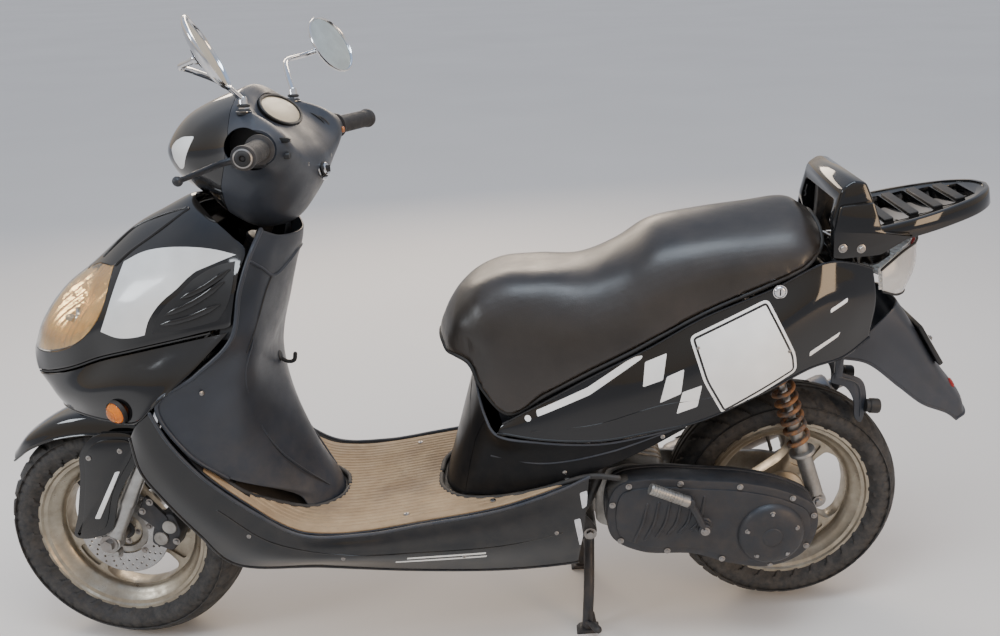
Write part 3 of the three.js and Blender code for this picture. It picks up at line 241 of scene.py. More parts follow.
def curved(edges):
    """One outline from edges that are smooth in themselves and meet at corners."""
    return np.concatenate([smooth([(x, 0, z) for x, z in edge], 20)[:-1, [0, 2]] for edge in edges])


def steps(count, edge=0.006):
    """Fractions from 0 to 1, with one more close to each end for a rounded rim."""
    return np.concatenate([[0], np.linspace(edge, 1 - edge, count), [1]])


def mirrored(row):
    row = [list(p) for p in row]
    return [[x, -y, z] for x, y, z in row[:0:-1]] + row


def surface(rows, u, v):
    """A grid of points over the smooth surface through the rows, u across each row and v from row to row."""
    cross = np.array([spaced(row, u) for row in rows])
    return np.swapaxes(catmull(cross, np.asarray(v) * (len(rows) - 1)), 0, 1)


# ---------- parts: points and faces ----------
def joined(*parts):
    points, faces, start = [], [], 0
    for p, f in parts:
        points.append(np.asarray(p, float))
        faces += [tuple(i + start for i in face) for face in f]
        start += len(p)
    return np.concatenate(points), faces


def flipped(part):
    """The part's mirror image across the midplane."""
    return part[0] * [1, -1, 1], [face[::-1] for face in part[1]]


def both_sides(part):
    return joined(part, flipped(part))


def other_side(parts):
    """The mirror image of (material, part) pairs."""
    return [(material, flipped(part)) for material, part in parts]


def grid_faces(n, m, start=0, wrap_n=False, wrap_m=False):
    faces = []
    for i in range(n if wrap_n else n - 1):
        for j in range(m if wrap_m else m - 1):
            a, b = i * m + j, i * m + (j + 1) % m
            c, d = (i + 1) % n * m + (j + 1) % m, (i + 1) % n * m + j
            faces.append((a + start, b + start, c + start, d + start))
    return faces


def normals_of(grid, towards):
    """Unit normals of a grid, on the side of this point."""
    n = np.cross(np.gradient(grid, axis=0), np.gradient(grid, axis=1))
    n /= np.maximum(np.linalg.norm(n, axis=-1, keepdims=True), 1e-9)
    return -n if ((towards - grid) * n).sum() < 0 else n


def shell_faces(n, m):
    """Faces of a closed shell between two grids of n by m points, the outer one first."""
    faces = grid_faces(n, m) + [f[::-1] for f in grid_faces(n, m, n * m)]
    loop = [i * m for i in range(n)] + [(n - 1) * m + j for j in range(1, m)]
    loop += [i * m + m - 1 for i in range(n - 2, -1, -1)] + [j for j in range(m - 2, 0, -1)]
    return faces + [(a, b, b + n * m, a + n * m) for a, b in zip(loop, loop[1:] + loop[:1])]


def shell(outer, inner):
    return np.concatenate([outer.reshape(-1, 3), inner.reshape(-1, 3)]), shell_faces(*outer.shape[:2])


def sheet(grid, thickness, inside, lip=0.8):
    """A closed shell under the grid, its rim rolled in a little. The point inside says which way in is."""
    inward = normals_of(grid, inside)
    outer = grid.copy()
    rim = np.zeros(grid.shape[:2], bool)
    rim[[0, -1], :] = True
    rim[:, [0, -1]] = True
    outer[rim] += inward[rim] * min(lip, thickness / 3)
    return shell(outer, grid + inward * thickness)


def perpendicular(direction):
    d = np.asarray(direction, float) / np.linalg.norm(direction)
    side = np.cross(d, [0, 1, 0] if abs(d[1]) < 0.9 else [1, 0, 0])
    side /= np.linalg.norm(side)
    return d, side, np.cross(d, side)


def lathe(profile, origin, axis, segments, closed=False):
    """A body turned about the axis through origin, from (radius, height) pairs."""
    d, a, b = perpendicular(axis)
    turn = np.linspace(0, 2 * np.pi, segments, endpoint=False)
    spoke = np.cos(turn)[:, None] * a + np.sin(turn)[:, None] * b
    profile = [(max(r, 0.01), h) for r, h in profile]
    grid = np.array([np.asarray(origin, float) + d * h + spoke * r for r, h in profile])
    n = len(profile)
    faces = grid_faces(n, segments, wrap_n=closed, wrap_m=True)
    if not closed:
        faces += [tuple(range(segments)), tuple((n - 1) * segments + k for k in range(segments))[::-1]]
    return grid.reshape(-1, 3), faces


def tube(path, radius, sides, flat=1.0, closed=False):
    """A tube with round ends along a path, of one radius or one for each point; flat squeezes it one way."""
    path = np.asarray(path, float)
    n = len(path)
    radius = np.broadcast_to(np.asarray(radius, float), (n,))
    if closed:
        tangent = np.roll(path, -1, axis=0) - np.roll(path, 1, axis=0)
    else:
        tangent = np.gradient(path, axis=0)
    tangent /= np.linalg.norm(tangent, axis=1, keepdims=True)
    _, side, _ = perpendicular(tangent[0])
    turn = np.linspace(0, 2 * np.pi, sides, endpoint=False)
    rings = []
    for k in range(n):
        side = side - tangent[k] * (side @ tangent[k])
        side /= np.linalg.norm(side)
        other = np.cross(tangent[k], side)
        spoke = np.cos(turn)[:, None] * side + np.sin(turn)[:, None] * other * flat
        rings.append((path[k], radius[k], spoke, tangent[k]))
    made = [c + spoke * r for c, r, spoke, _ in rings]
    if not closed:
        bulge = [(0.5, 0.87), (0.87, 0.5), (1.0, 0.12)]
        c, r, spoke, t = rings[0]
        made = [c - t * r * out + spoke * r * k for out, k in bulge[::-1]] + made
        c, r, spoke, t = rings[-1]
        made += [c + t * r * out + spoke * r * k for out, k in bulge]
    grid = np.array(made)
    count = len(made)
    faces = grid_faces(count, sides, wrap_n=closed, wrap_m=True)
    if not closed:
        faces += [tuple(range(sides)), tuple((count - 1) * sides + k for k in range(sides))[::-1]]
    return grid.reshape(-1, 3), faces


def rod(a, b, radius, chamfer=1.0, sides=32):
    a, b = np.asarray(a, float), np.asarray(b, float)
    length = np.linalg.norm(b - a)
    c = min(chamfer, radius / 2, length / 3)
    profile = [(radius - c, 0), (radius, c), (radius, length - c), (radius - c, length)]
    return lathe(profile, a, b - a, sides)


def across(y0, y1, centre, radius, chamfer=1.0, sides=32):
    """A rod along Y through the [x, z] centre."""
    return rod((centre[0], y0, centre[1]), (centre[0], y1, centre[1]), radius, chamfer, sides)


def ball(centre, radius):
    turn = np.linspace(0, np.pi, 13)
    return lathe([(radius * math.sin(a), -radius * math.cos(a)) for a in turn], centre, (0, 0, 1), 24)


def counter_clockwise(outline):
    """The outline as an array that runs counter-clockwise."""
    p = np.asarray(outline, float)
    x, y = p.T
    return p if np.sum(x * np.roll(y, -1) - np.roll(x, -1) * y) > 0 else p[::-1]


def inset(outline, by):
    """A counter-clockwise outline pulled in by a distance."""
    p = np.asarray(outline, float)
    e1 = p - np.roll(p, 1, axis=0)
    e2 = np.roll(p, -1, axis=0) - p
    n1 = np.stack([-e1[:, 1], e1[:, 0]], 1) / np.linalg.norm(e1, axis=1)[:, None]
    n2 = np.stack([-e2[:, 1], e2[:, 0]], 1) / np.linalg.norm(e2, axis=1)[:, None]
    half = n1 + n2
    half /= np.maximum((half * n1).sum(1), 0.35)[:, None]
    return p + half * by


def fillet(outline, radius, count=4):
    """An outline with its corners rounded."""
    p = np.asarray(outline, float)
    made = []
    for k in range(len(p)):
        before, here, after = p[k - 1], p[k], p[(k + 1) % len(p)]
        a, b = before - here, after - here
        la, lb = np.linalg.norm(a), np.linalg.norm(b)
        r = min(radius, 0.45 * la, 0.45 * lb)
        start, end = here + a / la * r, here + b / lb * r
        for w in np.linspace(0, 1, count + 1):
            made.append((1 - w) ** 2 * start + 2 * w * (1 - w) * here + w * w * end)
    return np.array(made)


def prism(outline, low, high, bevel, plane="xz"):
    """A plate with this outline between two values of the third coordinate, its edges bevelled."""
    p = counter_clockwise(outline)
    bevel = min(bevel, (high - low) / 3)
    cut = inset(p, bevel)
    mid = inset(p, bevel * 0.29)
    rings = [(cut, low), (mid, low + bevel * 0.29), (p, low + bevel)]
    rings += [(p, high - bevel), (mid, high - bevel * 0.29), (cut, high)]
    order = {"xz": (0, 2, 1), "xy": (0, 1, 2), "yz": (1, 2, 0)}[plane]
    points = []
    for ring, level in rings:
        three = np.zeros((len(ring), 3))
        three[:, order[0]], three[:, order[1]], three[:, order[2]] = ring[:, 0], ring[:, 1], level
        points.append(three)
    n = len(p)
    faces = grid_faces(len(rings), n, wrap_m=True)
    faces += [tuple(range(n)), tuple((len(rings) - 1) * n + k for k in range(n))[::-1]]
    return np.concatenate(points), faces


def block(x, y, z, bevel):
    outline = fillet([(x[0], z[0]), (x[1], z[0]), (x[1], z[1]), (x[0], z[1])], bevel)
    return prism(outline, y[0], y[1], bevel)


def loft(rings):
    """A solid through closed rings, with flat ends."""
    grid = np.array(rings)
    n, m = grid.shape[:2]
    faces = grid_faces(n, m, wrap_m=True)
    faces += [tuple(range(m)), tuple((n - 1) * m + k for k in range(m))[::-1]]
    return grid.reshape(-1, 3), faces


# ---------- meshes and booleans ----------
def mesh_of(parts, name="work"):
    """A Blender mesh from parts of one material index each, with its faces turned outwards."""
    points, faces = joined(*parts)
    mesh = bpy.data.meshes.new(name)
    mesh.from_pydata(points.tolist(), [], faces)
    index = np.concatenate([np.full(len(f), k) for k, (_, f) in enumerate(parts)])
    mesh.polygons.foreach_set("material_index", index.astype(np.int32))
    work = bmesh.new()
    work.from_mesh(mesh)
    bmesh.ops.recalc_face_normals(work, faces=work.faces)
    work.to_mesh(mesh)
    work.free()
    return mesh


def part_of(mesh):
    points = np.zeros(len(mesh.vertices) * 3)
    mesh.vertices.foreach_get("co", points)
    return points.reshape(-1, 3), [tuple(p.vertices) for p in mesh.polygons]


def baked(part, *modifiers):
    """The part after these modifiers, each a type and its settings."""
    work = bpy.data.objects.new("work", mesh_of([part]))
    bpy.context.scene.collection.objects.link(work)
    for kind, settings in modifiers:
        modifier = work.modifiers.new(kind, kind)
        for key, value in settings.items():
            setattr(modifier, key, value)
    graph = bpy.context.evaluated_depsgraph_get()
    made = part_of(work.evaluated_get(graph).to_mesh())
    bpy.data.objects.remove(work)
    return made


def carved(part, *tools, operation="DIFFERENCE"):
    """The part with tools cut from it, or what is inside them."""
    for tool in tools:
        other = bpy.data.objects.new("tool", mesh_of([tool]))
        bpy.context.scene.collection.objects.link(other)
        part = baked(part, ("BOOLEAN", {"object": other, "operation": operation, "solver": "MANIFOLD"}))
        bpy.data.objects.remove(other)
    return part


def bevelled(part, width):
    """The part with its edges of more than 35 degrees bevelled."""
    settings = {"width": width, "segments": 2, "limit_method": "ANGLE", "angle_limit": math.radians(35)}
    return baked(part, ("BEVEL", settings))


def ray_target(part):
    return BVHTree.FromPolygons([Vector(p) for p in part[0]], part[1])


def hit_on(target, x, z, side):
    """The point where a ray along Y meets the target's side, and the outward normal there."""
    hit, normal, _, _ = target.ray_cast(Vector((x, side * 600, z)), Vector((0, -side, 0)))
    if hit is None:
        return None
    return np.array(hit), np.array(normal) * (1 if normal.y * side > 0 else -1)


def patch(target, outline, side, lift, rings=8, spacing=8.0):
    """A thin plate laid on a target's side, with this [x, z] outline. It stops short of the target's edge."""
    dense = []
    for a, b in zip(outline, list(outline[1:]) + [outline[0]]):
        a, b = np.asarray(a, float), np.asarray(b, float)
        count = max(1, int(np.linalg.norm(b - a) / spacing))
        dense += [a + (b - a) * k / count for k in range(count)]
    dense = np.array(dense)
    middle = dense.mean(0)
    for k, point in enumerate(dense):
        while hit_on(target, *point, side) is None:
            point = middle + (point - middle) * 0.97
        dense[k] = point
    top, bottom = [], []
    for share in np.concatenate([[1.0], np.linspace(0.995, 0.02, rings)]):
        for x, z in middle + (dense - middle) * share:
            hit, normal = hit_on(target, x, z, side)
            top.append(hit + normal * lift)
            bottom.append(hit - normal * 0.4)
    n = len(dense)
    count = len(top) // n
    faces = grid_faces(count, n, wrap_m=True)
    faces += [tuple((count - 1) * n + k for k in range(n))[::-1]]
    low = len(top)
    faces += [tuple(i + low for i in f)[::-1] for f in faces]
    faces += [(k, (k + 1) % n, (k + 1) % n + low, k + low) for k in range(n)]
    return np.array(top + bottom), faces


# ---------- materials ----------
class Shader:
    """A Principled material and short names for the nodes that feed it."""

    def __init__(self, name):
        self.material = bpy.data.materials.new(name)
        self.material.use_nodes = True
        self.nodes = self.material.node_tree.nodes
        self.links = self.material.node_tree.links
        self.shader = self.nodes["Principled BSDF"]
        self.where = self.nodes.new("ShaderNodeTexCoord").outputs["Object"]

    def set(self, **values):
        for key, value in values.items():
            socket = self.shader.inputs[key.replace("_", " ")]
            if isinstance(value, bpy.types.NodeSocket):
                self.links.new(value, socket)
            elif isinstance(value, tuple):
                socket.default_value = (*value, 1.0)
            else:
                socket.default_value = value
        return self

    def feed(self, socket, value):
        if isinstance(value, bpy.types.NodeSocket):
            self.links.new(value, socket)
        else:
            socket.default_value = value

    def noise(self, scale, detail, roughness=0.55, stretch=(1, 1, 1), distortion=0.0):
        place = self.nodes.new("ShaderNodeMapping")
        place.inputs["Scale"].default_value = stretch
        self.links.new(self.where, place.inputs["Vector"])
        node = self.nodes.new("ShaderNodeTexNoise")
        self.links.new(place.outputs["Vector"], node.inputs["Vector"])
        node.inputs["Scale"].default_value = scale
        node.inputs["Detail"].default_value = detail
        node.inputs["Roughness"].default_value = roughness
        node.inputs["Distortion"].default_value = distortion
        return node.outputs["Fac"]

    def cells(self, scale):
        node = self.nodes.new("ShaderNodeTexVoronoi")
        self.links.new(self.where, node.inputs["Vector"])
        node.inputs["Scale"].default_value = scale
        return node.outputs["Distance"]

    def ramp(self, value, low, high, start=0.0, end=1.0):
        """The value's range from low to high, spread over start to end."""
        node = self.nodes.new("ShaderNodeMapRange")
        self.links.new(value, node.inputs["Value"])
        for key, number in (("From Min", low), ("From Max", high), ("To Min", start), ("To Max", end)):
            node.inputs[key].default_value = number
        return node.outputs["Result"]

    def math(self, operation, a, b):
        node = self.nodes.new("ShaderNodeMath")
        node.operation = operation
        self.feed(node.inputs[0], a)
        self.feed(node.inputs[1], b)
        return node.outputs[0]

    def mix(self, share, a, b):
        node = self.nodes.new("ShaderNodeMix")
        node.data_type = "RGBA"
        self.feed(node.inputs["Factor"], share)
        for socket, value in ((node.inputs["A"], a), (node.inputs["B"], b)):
            self.feed(socket, (*value, 1.0) if isinstance(value, tuple) else value)
        return node.outputs["Result"]

    def facing_up(self):
        node = self.nodes.new("ShaderNodeNewGeometry")
        split = self.nodes.new("ShaderNodeSeparateXYZ")
        self.links.new(node.outputs["Normal"], split.inputs[0])
        return split.outputs["Z"]

    def height(self):
        split = self.nodes.new("ShaderNodeSeparateXYZ")
        self.links.new(self.where, split.inputs[0])
        return split.outputs["Z"]

    def bump(self, height, distance, strength):
        node = self.nodes.new("ShaderNodeBump")
        self.links.new(height, node.inputs["Height"])
        node.inputs["Distance"].default_value = distance
        node.inputs["Strength"].default_value = strength
        if self.shader.inputs["Normal"].is_linked:
            self.links.new(self.shader.inputs["Normal"].links[0].from_socket, node.inputs["Normal"])
        self.links.new(node.outputs["Normal"], self.shader.inputs["Normal"])
        return self

    def dust(self, strength):
        """How much dust lies here: most on faces that look up, broken by noise."""
        up = self.ramp(self.facing_up(), 0.25, 1.0)
        spread = self.ramp(self.noise(9, 6, 0.62), 0.36, 0.7)
        return self.math("MULTIPLY", self.math("MULTIPLY", up, spread), strength)

    def grime(self, low, high):
        """Road dirt that fades out with height."""
        fade = self.ramp(self.height(), high, low)
        return self.math("MULTIPLY", fade, self.ramp(self.noise(26, 7, 0.66), 0.38, 0.68))


DUST = (0.2, 0.155, 0.11)


def gloss_paint(name, color, dust=0.1, rough=0.045, coat=0.25, ior=1.48):
    s = Shader(name)
    shade = s.mix(s.ramp(s.noise(5, 3), 0.3, 0.7), color, tuple(c * 1.5 + 0.002 for c in color))
    film = s.math("ADD", s.dust(dust), s.math("MULTIPLY", s.grime(0.05, 0.5), 0.16))
    s.set(Base_Color=s.mix(film, shade, DUST))
    smear = s.ramp(s.noise(14, 8, 0.7, (1, 1, 2.5)), 0.4, 0.8, rough, rough + 0.09)
    s.set(Roughness=s.math("ADD", smear, s.math("MULTIPLY", film, 0.25)))
    s.set(Coat_Weight=coat, Coat_Roughness=0.02, IOR=ior)
    s.bump(s.noise(420, 2), 0.00002, 0.25)
    s.bump(s.noise(900, 6, 0.8, (1, 0.08, 0.3)), 0.00003, 0.25)
    return s.material


def textured_plastic(name, color, rough, dust, grain=1.0):
    s = Shader(name)
    shade = s.mix(s.ramp(s.noise(7, 5), 0.3, 0.72), color, tuple(c * 1.7 + 0.004 for c in color))
    film = s.math("ADD", s.dust(dust), s.math("MULTIPLY", s.grime(0.05, 0.6), 0.35))
    s.set(Base_Color=s.mix(film, shade, DUST))
    wear = s.ramp(s.noise(18, 7, 0.7), 0.3, 0.75, rough - 0.12, rough + 0.12)
    s.set(Roughness=s.math("ADD", wear, s.math("MULTIPLY", film, 0.2)))
    s.bump(s.cells(1500), 0.00012, 0.35 * grain)
    s.bump(s.noise(3000, 3), 0.00006, 0.3 * grain)
    return s.material


def metal(name, color, rough, metallic, dirt, dirt_color=(0.09, 0.06, 0.04), cast=0.0, high=0.55):
    s = Shader(name)
    spots = s.ramp(s.noise(60, 8, 0.7), 0.5, 0.72)
    fade = s.grime(0.05, high)
    film = s.math("MULTIPLY", s.math("MAXIMUM", s.math("MULTIPLY", spots, 0.55), fade), dirt)
    shade = s.mix(s.ramp(s.noise(30, 5), 0.3, 0.7), color, tuple(c * 0.78 for c in color))
    s.set(Base_Color=s.mix(film, shade, dirt_color))
    s.set(Metallic=s.ramp(film, 0.1, 0.9, metallic, metallic * 0.25))
    wear = s.ramp(s.noise(50, 8, 0.7), 0.3, 0.75, rough * 0.7, rough * 1.4 + 0.04)
    s.set(Roughness=s.math("ADD", wear, s.math("MULTIPLY", film, 0.35)))
    s.bump(s.noise(500, 5, 0.7), 0.00004, 0.3)
    if cast:
        s.bump(s.noise(700, 4, 0.75), 0.00025, cast)
    return s.material


def leather(name):
    s = Shader(name)
    shade = s.mix(s.ramp(s.noise(6, 6, 0.6), 0.3, 0.72), (0.014, 0.011, 0.009), (0.034, 0.027, 0.022))
    film = s.dust(0.22)
    s.set(Base_Color=s.mix(film, shade, (0.13, 0.1, 0.075)))
    wear = s.ramp(s.noise(11, 7, 0.66), 0.32, 0.7, 0.27, 0.42)
    s.set(Roughness=s.math("ADD", wear, s.math("MULTIPLY", film, 0.3)), Coat_Weight=0.12, Coat_Roughness=0.3)
    s.bump(s.cells(620), 0.00025, 0.45)
    s.bump(s.noise(45, 6, 0.6, distortion=0.6), 0.0012, 0.3)
    s.bump(s.noise(2600, 3), 0.00006, 0.35)
    return s.material


def rubber(name, color, rough, dirt):
    s = Shader(name)
    shade = s.mix(s.ramp(s.noise(20, 6), 0.3, 0.7), color, tuple(c * 1.8 + 0.004 for c in color))
    film = s.math("MULTIPLY", s.ramp(s.noise(80, 9, 0.75), 0.36, 0.78), dirt)
    s.set(Base_Color=s.mix(film, shade, DUST))
    s.set(Roughness=s.ramp(s.noise(60, 6), 0.3, 0.7, rough - 0.1, rough + 0.12))
    s.bump(s.noise(1400, 4, 0.7), 0.00015, 0.5)
    return s.material


def lens(name, color, rough=0.03, clear=1.0):
    s = Shader(name)
    shade = s.mix(s.ramp(s.noise(12, 5), 0.45, 0.8), color, tuple(c * 0.82 for c in color))
    s.set(Base_Color=shade, Transmission_Weight=clear, IOR=1.47)
    s.set(Roughness=s.ramp(s.noise(40, 7, 0.7), 0.4, 0.75, rough, rough + 0.1))
    s.bump(s.noise(240, 2), 0.00002, 0.2)
    return s.material


def rusty(name):
    s = Shader(name)
    paint = s.mix(s.ramp(s.noise(26, 5), 0.3, 0.7), (0.055, 0.042, 0.034), (0.12, 0.1, 0.085))
    rust = s.mix(s.ramp(s.noise(160, 7, 0.7), 0.3, 0.7), (0.17, 0.066, 0.022), (0.34, 0.16, 0.06))
    s.set(Base_Color=s.mix(s.ramp(s.noise(55, 8, 0.7), 0.4, 0.56), paint, rust))
    s.set(Metallic=0.25, Roughness=s.ramp(s.noise(90, 6), 0.3, 0.7, 0.42, 0.85))
    s.bump(s.noise(420, 7, 0.75), 0.0005, 0.6)
    return s.material


def mat_rubber(name):
    s = Shader(name)
    base = s.mix(s.ramp(s.noise(16, 7, 0.66), 0.28, 0.74), (0.32, 0.2, 0.105), (0.5, 0.34, 0.19))
    worn = s.mix(s.ramp(s.noise(5, 5, 0.6), 0.5, 0.78), base, (0.2, 0.135, 0.085))
    s.set(Base_Color=s.mix(s.ramp(s.noise(140, 8, 0.75), 0.6, 0.78), worn, (0.08, 0.06, 0.045)))
    s.set(Roughness=s.ramp(s.noise(30, 6), 0.3, 0.7, 0.62, 0.9))
    s.bump(s.noise(900, 5, 0.7), 0.0003, 0.6)
    return s.material


MATERIALS = {
    "gloss": gloss_paint("gloss_black", (0.0035, 0.0033, 0.0036)),
    "satin": gloss_paint("satin_black", (0.006, 0.006, 0.0065), dust=0.2, rough=0.28, coat=0.0, ior=1.25),
    "white": gloss_paint("white_paint", (0.72, 0.71, 0.68), dust=0.3, rough=0.14),
    "black_ink": gloss_paint("black_ink", (0.006, 0.006, 0.007), dust=0.1, rough=0.2),
    "matte": textured_plastic("matte_black", (0.017, 0.0205, 0.028), 0.42, dust=0.34),
    "dark": textured_plastic("dark_plastic", (0.006, 0.006, 0.0065), 0.6, dust=0.35),
    "seat": leather("seat_vinyl"),
    "mat": mat_rubber("floor_mat"),
    "paint": metal("frame_paint", (0.02, 0.02, 0.021), 0.42, 0.2, 0.75, (0.1, 0.075, 0.055)),
    "cast": metal("cast_black", (0.035, 0.037, 0.042), 0.4, 0.35, 0.65, (0.085, 0.062, 0.045), cast=0.5),
    "alloy": metal("raw_alloy", (0.4, 0.38, 0.35), 0.42, 0.9, 0.75, (0.1, 0.072, 0.05), cast=0.35),
    "wheel": metal("wheel_alloy", (0.44, 0.385, 0.3), 0.3, 0.9, 0.55, (0.11, 0.075, 0.045)),
    "fork": metal("fork_alloy", (0.5, 0.49, 0.47), 0.3, 0.95, 0.55),
    "chrome": metal("chrome", (0.78, 0.78, 0.79), 0.07, 1.0, 0.2),
    "steel": metal("steel", (0.36, 0.34, 0.32), 0.3, 0.95, 0.55, (0.12, 0.06, 0.03)),
    "disc": metal("disc_steel", (0.46, 0.45, 0.44), 0.24, 1.0, 0.35, (0.14, 0.08, 0.04)),
    "exhaust": metal("exhaust_steel", (0.27, 0.26, 0.25), 0.32, 0.95, 0.7, (0.13, 0.066, 0.033)),
    "rust": rusty("rusty_spring"),
    "tyre": rubber("tyre_rubber", (0.014, 0.0145, 0.0155), 0.72, 0.3),
    "grip": rubber("grip_rubber", (0.011, 0.011, 0.0125), 0.62, 0.22),
    "clear": lens("clear_lens", (1.0, 0.95, 0.86)),
    # the window's warm, half-clear colour is painted light: it shows the dial as if lit through the glass
    "dial_window_painted_light": lens("dial_window_painted_light", (0.9, 0.72, 0.48), 0.3, 0.35),
    "frosted": lens("white_lens", (0.93, 0.92, 0.9), 0.16, 0.55),
    "amber": lens("amber_lens", (0.95, 0.3, 0.03), 0.08, 0.6),
    "red": lens("red_lens", (0.6, 0.02, 0.015), 0.1, 0.5),
    "mirror": metal("mirror_glass", (0.72, 0.79, 0.78), 0.02, 1.0, 0.12, high=0.01),
    # the reflector's gold colour is a painted warm reflection, not the colour of its metal
    "reflector": metal("lamp_reflector_painted_warm_light", (0.98, 0.66, 0.3), 0.17, 0.85, 0.0),
    "strip": metal("reflective_strip", (0.8, 0.8, 0.82), 0.25, 0.4, 0.2, high=0.01),
    # the dial's own pale colour, brightened as painted light to make up for the light the window keeps from
    # it
    "dial": textured_plastic("dial_face_painted_light", (0.78, 0.62, 0.42), 0.4, dust=0.0, grain=0.2),
}


# ---------- placing pieces ----------
def to_row(points, steered=False):
    if steered:
        points = (points - AXIS_FOOT) @ STEER.T + AXIS_FOOT
    return (points + SHIFT) / 1000


def piece(name, body, parts, stands_for=(), steered=False, angle=32):
    """One object that rides on a body, from (material, part) pairs."""
    mesh = mesh_of([part for _, part in parts], name)
    points = np.array([v.co for v in mesh.vertices], float)
    mesh.vertices.foreach_set("co", to_row(points, steered).astype(np.float32).ravel())
    for material, _ in parts:
        mesh.materials.append(MATERIALS[material])
    mesh.shade_smooth()
    mesh.set_sharp_from_angle(angle=math.radians(angle))
    made = bpy.data.objects.new(name, mesh)
    bpy.context.scene.collection.objects.link(made)
    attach(made, body)
    if stands_for:
        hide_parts(*stands_for)
    return made


def finish_cad(names, material):
    """A CAD piece that is shown as it is takes its finish here."""
    for name in names:
        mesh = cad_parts[name].data
        mesh.materials.clear()
        mesh.materials.append(MATERIALS[material])


def hex_bolt(centre, direction, size, head):
    """A flanged hex head and the washer under it, facing in this direction."""
    d, a, b = perpendicular(direction)
    turn = np.linspace(0, 2 * np.pi, 6, endpoint=False)
    ring = np.cos(turn)[:, None] * a + np.sin(turn)[:, None] * b
    levels = [(0.6, 0), (0.6, 1.0), (1.0, 1.0), (1.0, head - 0.8), (0.86, head)]
    centre = np.asarray(centre, float)
    body = loft([centre + d * h + ring * size * k for k, h in levels])
    washer = lathe([(size * 1.35, 0), (size * 1.5, 0.4), (size * 1.5, 1.0), (size * 1.3, 1.4)], centre, d, 20)
    return joined(body, washer)


def screw_head(centre, direction, radius):
    """A domed cross-head screw."""
    d, _, _ = perpendicular(direction)
    shares = [(0.6, -1.0), (1, 0), (0.94, 0.9), (0.6, 1.8), (0.3, 2.0), (0.26, 1.0), (0, 0.8)]
    return lathe([(radius * share, height) for share, height in shares], centre, d, 20)


# ---------- wheels ----------
TYRE_TURNS = 480
TREAD_LUGS = 30
TREAD_DEPTH = 4.5


def tread_mask(y, q, angle):
    """Where the tread is cut: slanted slots on the shoulders, slits at the edges and two grooves round."""
    phase = angle[None, :] * TREAD_LUGS / (2 * np.pi)
    lean = np.abs(y) * 0.022
    slot = np.abs((phase + lean + 0.5 * (y > 0)) % 1 - 0.5) < 0.13
    slit = np.abs((phase * 2 + lean * 2) % 1 - 0.5) < 0.11
    shoulder = (np.abs(y) > 18) & (np.abs(y) < 61)
    edge = (np.abs(y) > 60) & (q > TYRE_RADIUS - 36)
    return (slot & shoulder) | (slit & edge) | (np.abs(np.abs(y) - 9) < 1.6)


def tyre(centre, body, name, node, steered):
    """A tyre as a fine ring whose tread is sunk where the grooves run, and two ridges on each wall."""
    r = TYRE_RADIUS
    half = [(0, r), (18, r - 0.9), (34, r - 3.6), (48, r - 10), (58, r - 19), (64, r - 33), (65, r - 42),
            (62, 193), (55, 186), (50, 181), (44, 171)]
    crown = smooth([(-y, q, 0) for y, q in half[:0:-1]] + [(y, q, 0) for y, q in half], 61)[:, :2]
    inner = [(36, 170), (44, 190), (50, r - 22), (30, r - 12), (0, r - 10)]
    inner += [(-y, q) for y, q in inner[-2::-1]]
    section = np.concatenate([crown, np.array(inner, float)])
    angle = np.linspace(0, 2 * np.pi, TYRE_TURNS, endpoint=False)
    y, q = section[:, :1], section[:, 1:]
    tread = tread_mask(y, q, angle)
    tread[len(crown):] = False
    radius = q - TREAD_DEPTH * tread
    cx, cz = centre
    grid = np.stack([cx + radius * np.cos(angle), y + 0 * radius, cz + radius * np.sin(angle)], -1)
    faces = grid_faces(len(section), TYRE_TURNS, wrap_n=True, wrap_m=True)
    parts = [("tyre", (grid.reshape(-1, 3), faces))]
    for side in (-1, 1):
        for level, out in ((196, 60.6), (219, 63.8)):
            ridge = [(level - 1.2, side * out), (level, side * (out + 2)), (level + 1.2, side * out),
                     (level, side * (out - 3.6))]
            parts.append(("tyre", lathe(ridge, (cx, 0, cz), (0, 1, 0), 120, closed=True)))
    return piece(name, body, parts, (node,), steered, angle=40)


def polar(centre, radius, degrees):
    a = math.radians(degrees)
    return (centre[0] + radius * math.cos(a), centre[1] + radius * math.sin(a))


def spoke_cuts(centre, spoke_degrees):
    """What is cut from a wheel's web: three openings between the spokes, and pockets in the spokes."""
    outer = [(-40, 128), (-30, 137), (-15, 139), (0, 139), (15, 139), (30, 137), (40, 128)]
    inner = [(42, 96), (32, 76), (16, 66), (0, 64), (-16, 66), (-32, 76), (-42, 96)]
    across_spoke = [(-13, 132), (0, 133), (13, 132), (14.3, 70), (0, 66), (-14.3, 70)]
    openings, pockets = [], []
    for turn in (0, 120, 240):
        outline = [polar(centre, r, spoke_degrees + 60 + turn + a) for a, r in outer + inner]
        openings.append(prism(fillet(outline, 9), -30, 30, 0.5))
        outline = [polar(centre, r, spoke_degrees + turn + a) for a, r in across_spoke]
        for side in (-1, 1):
            pockets.append(prism(fillet(outline, 8), *sorted((side * 11, side * 30)), 0.5))
    return joined(*openings), joined(*pockets)


def valve(centre, degrees):
    """The rubber valve stem, from the barrel inwards and out to the left."""
    (x0, z0), (x1, z1) = polar(centre, 143, degrees), polar(centre, 108, degrees)
    stem = [(x0, -8, z0), (x1 * 0.3 + x0 * 0.7, -13, z1 * 0.3 + z0 * 0.7), (x1, -22, z1)]
    return tube(smooth(stem, 8), [5, 4.5, 4, 3.6, 3.5, 3.6, 4, 4], 12)


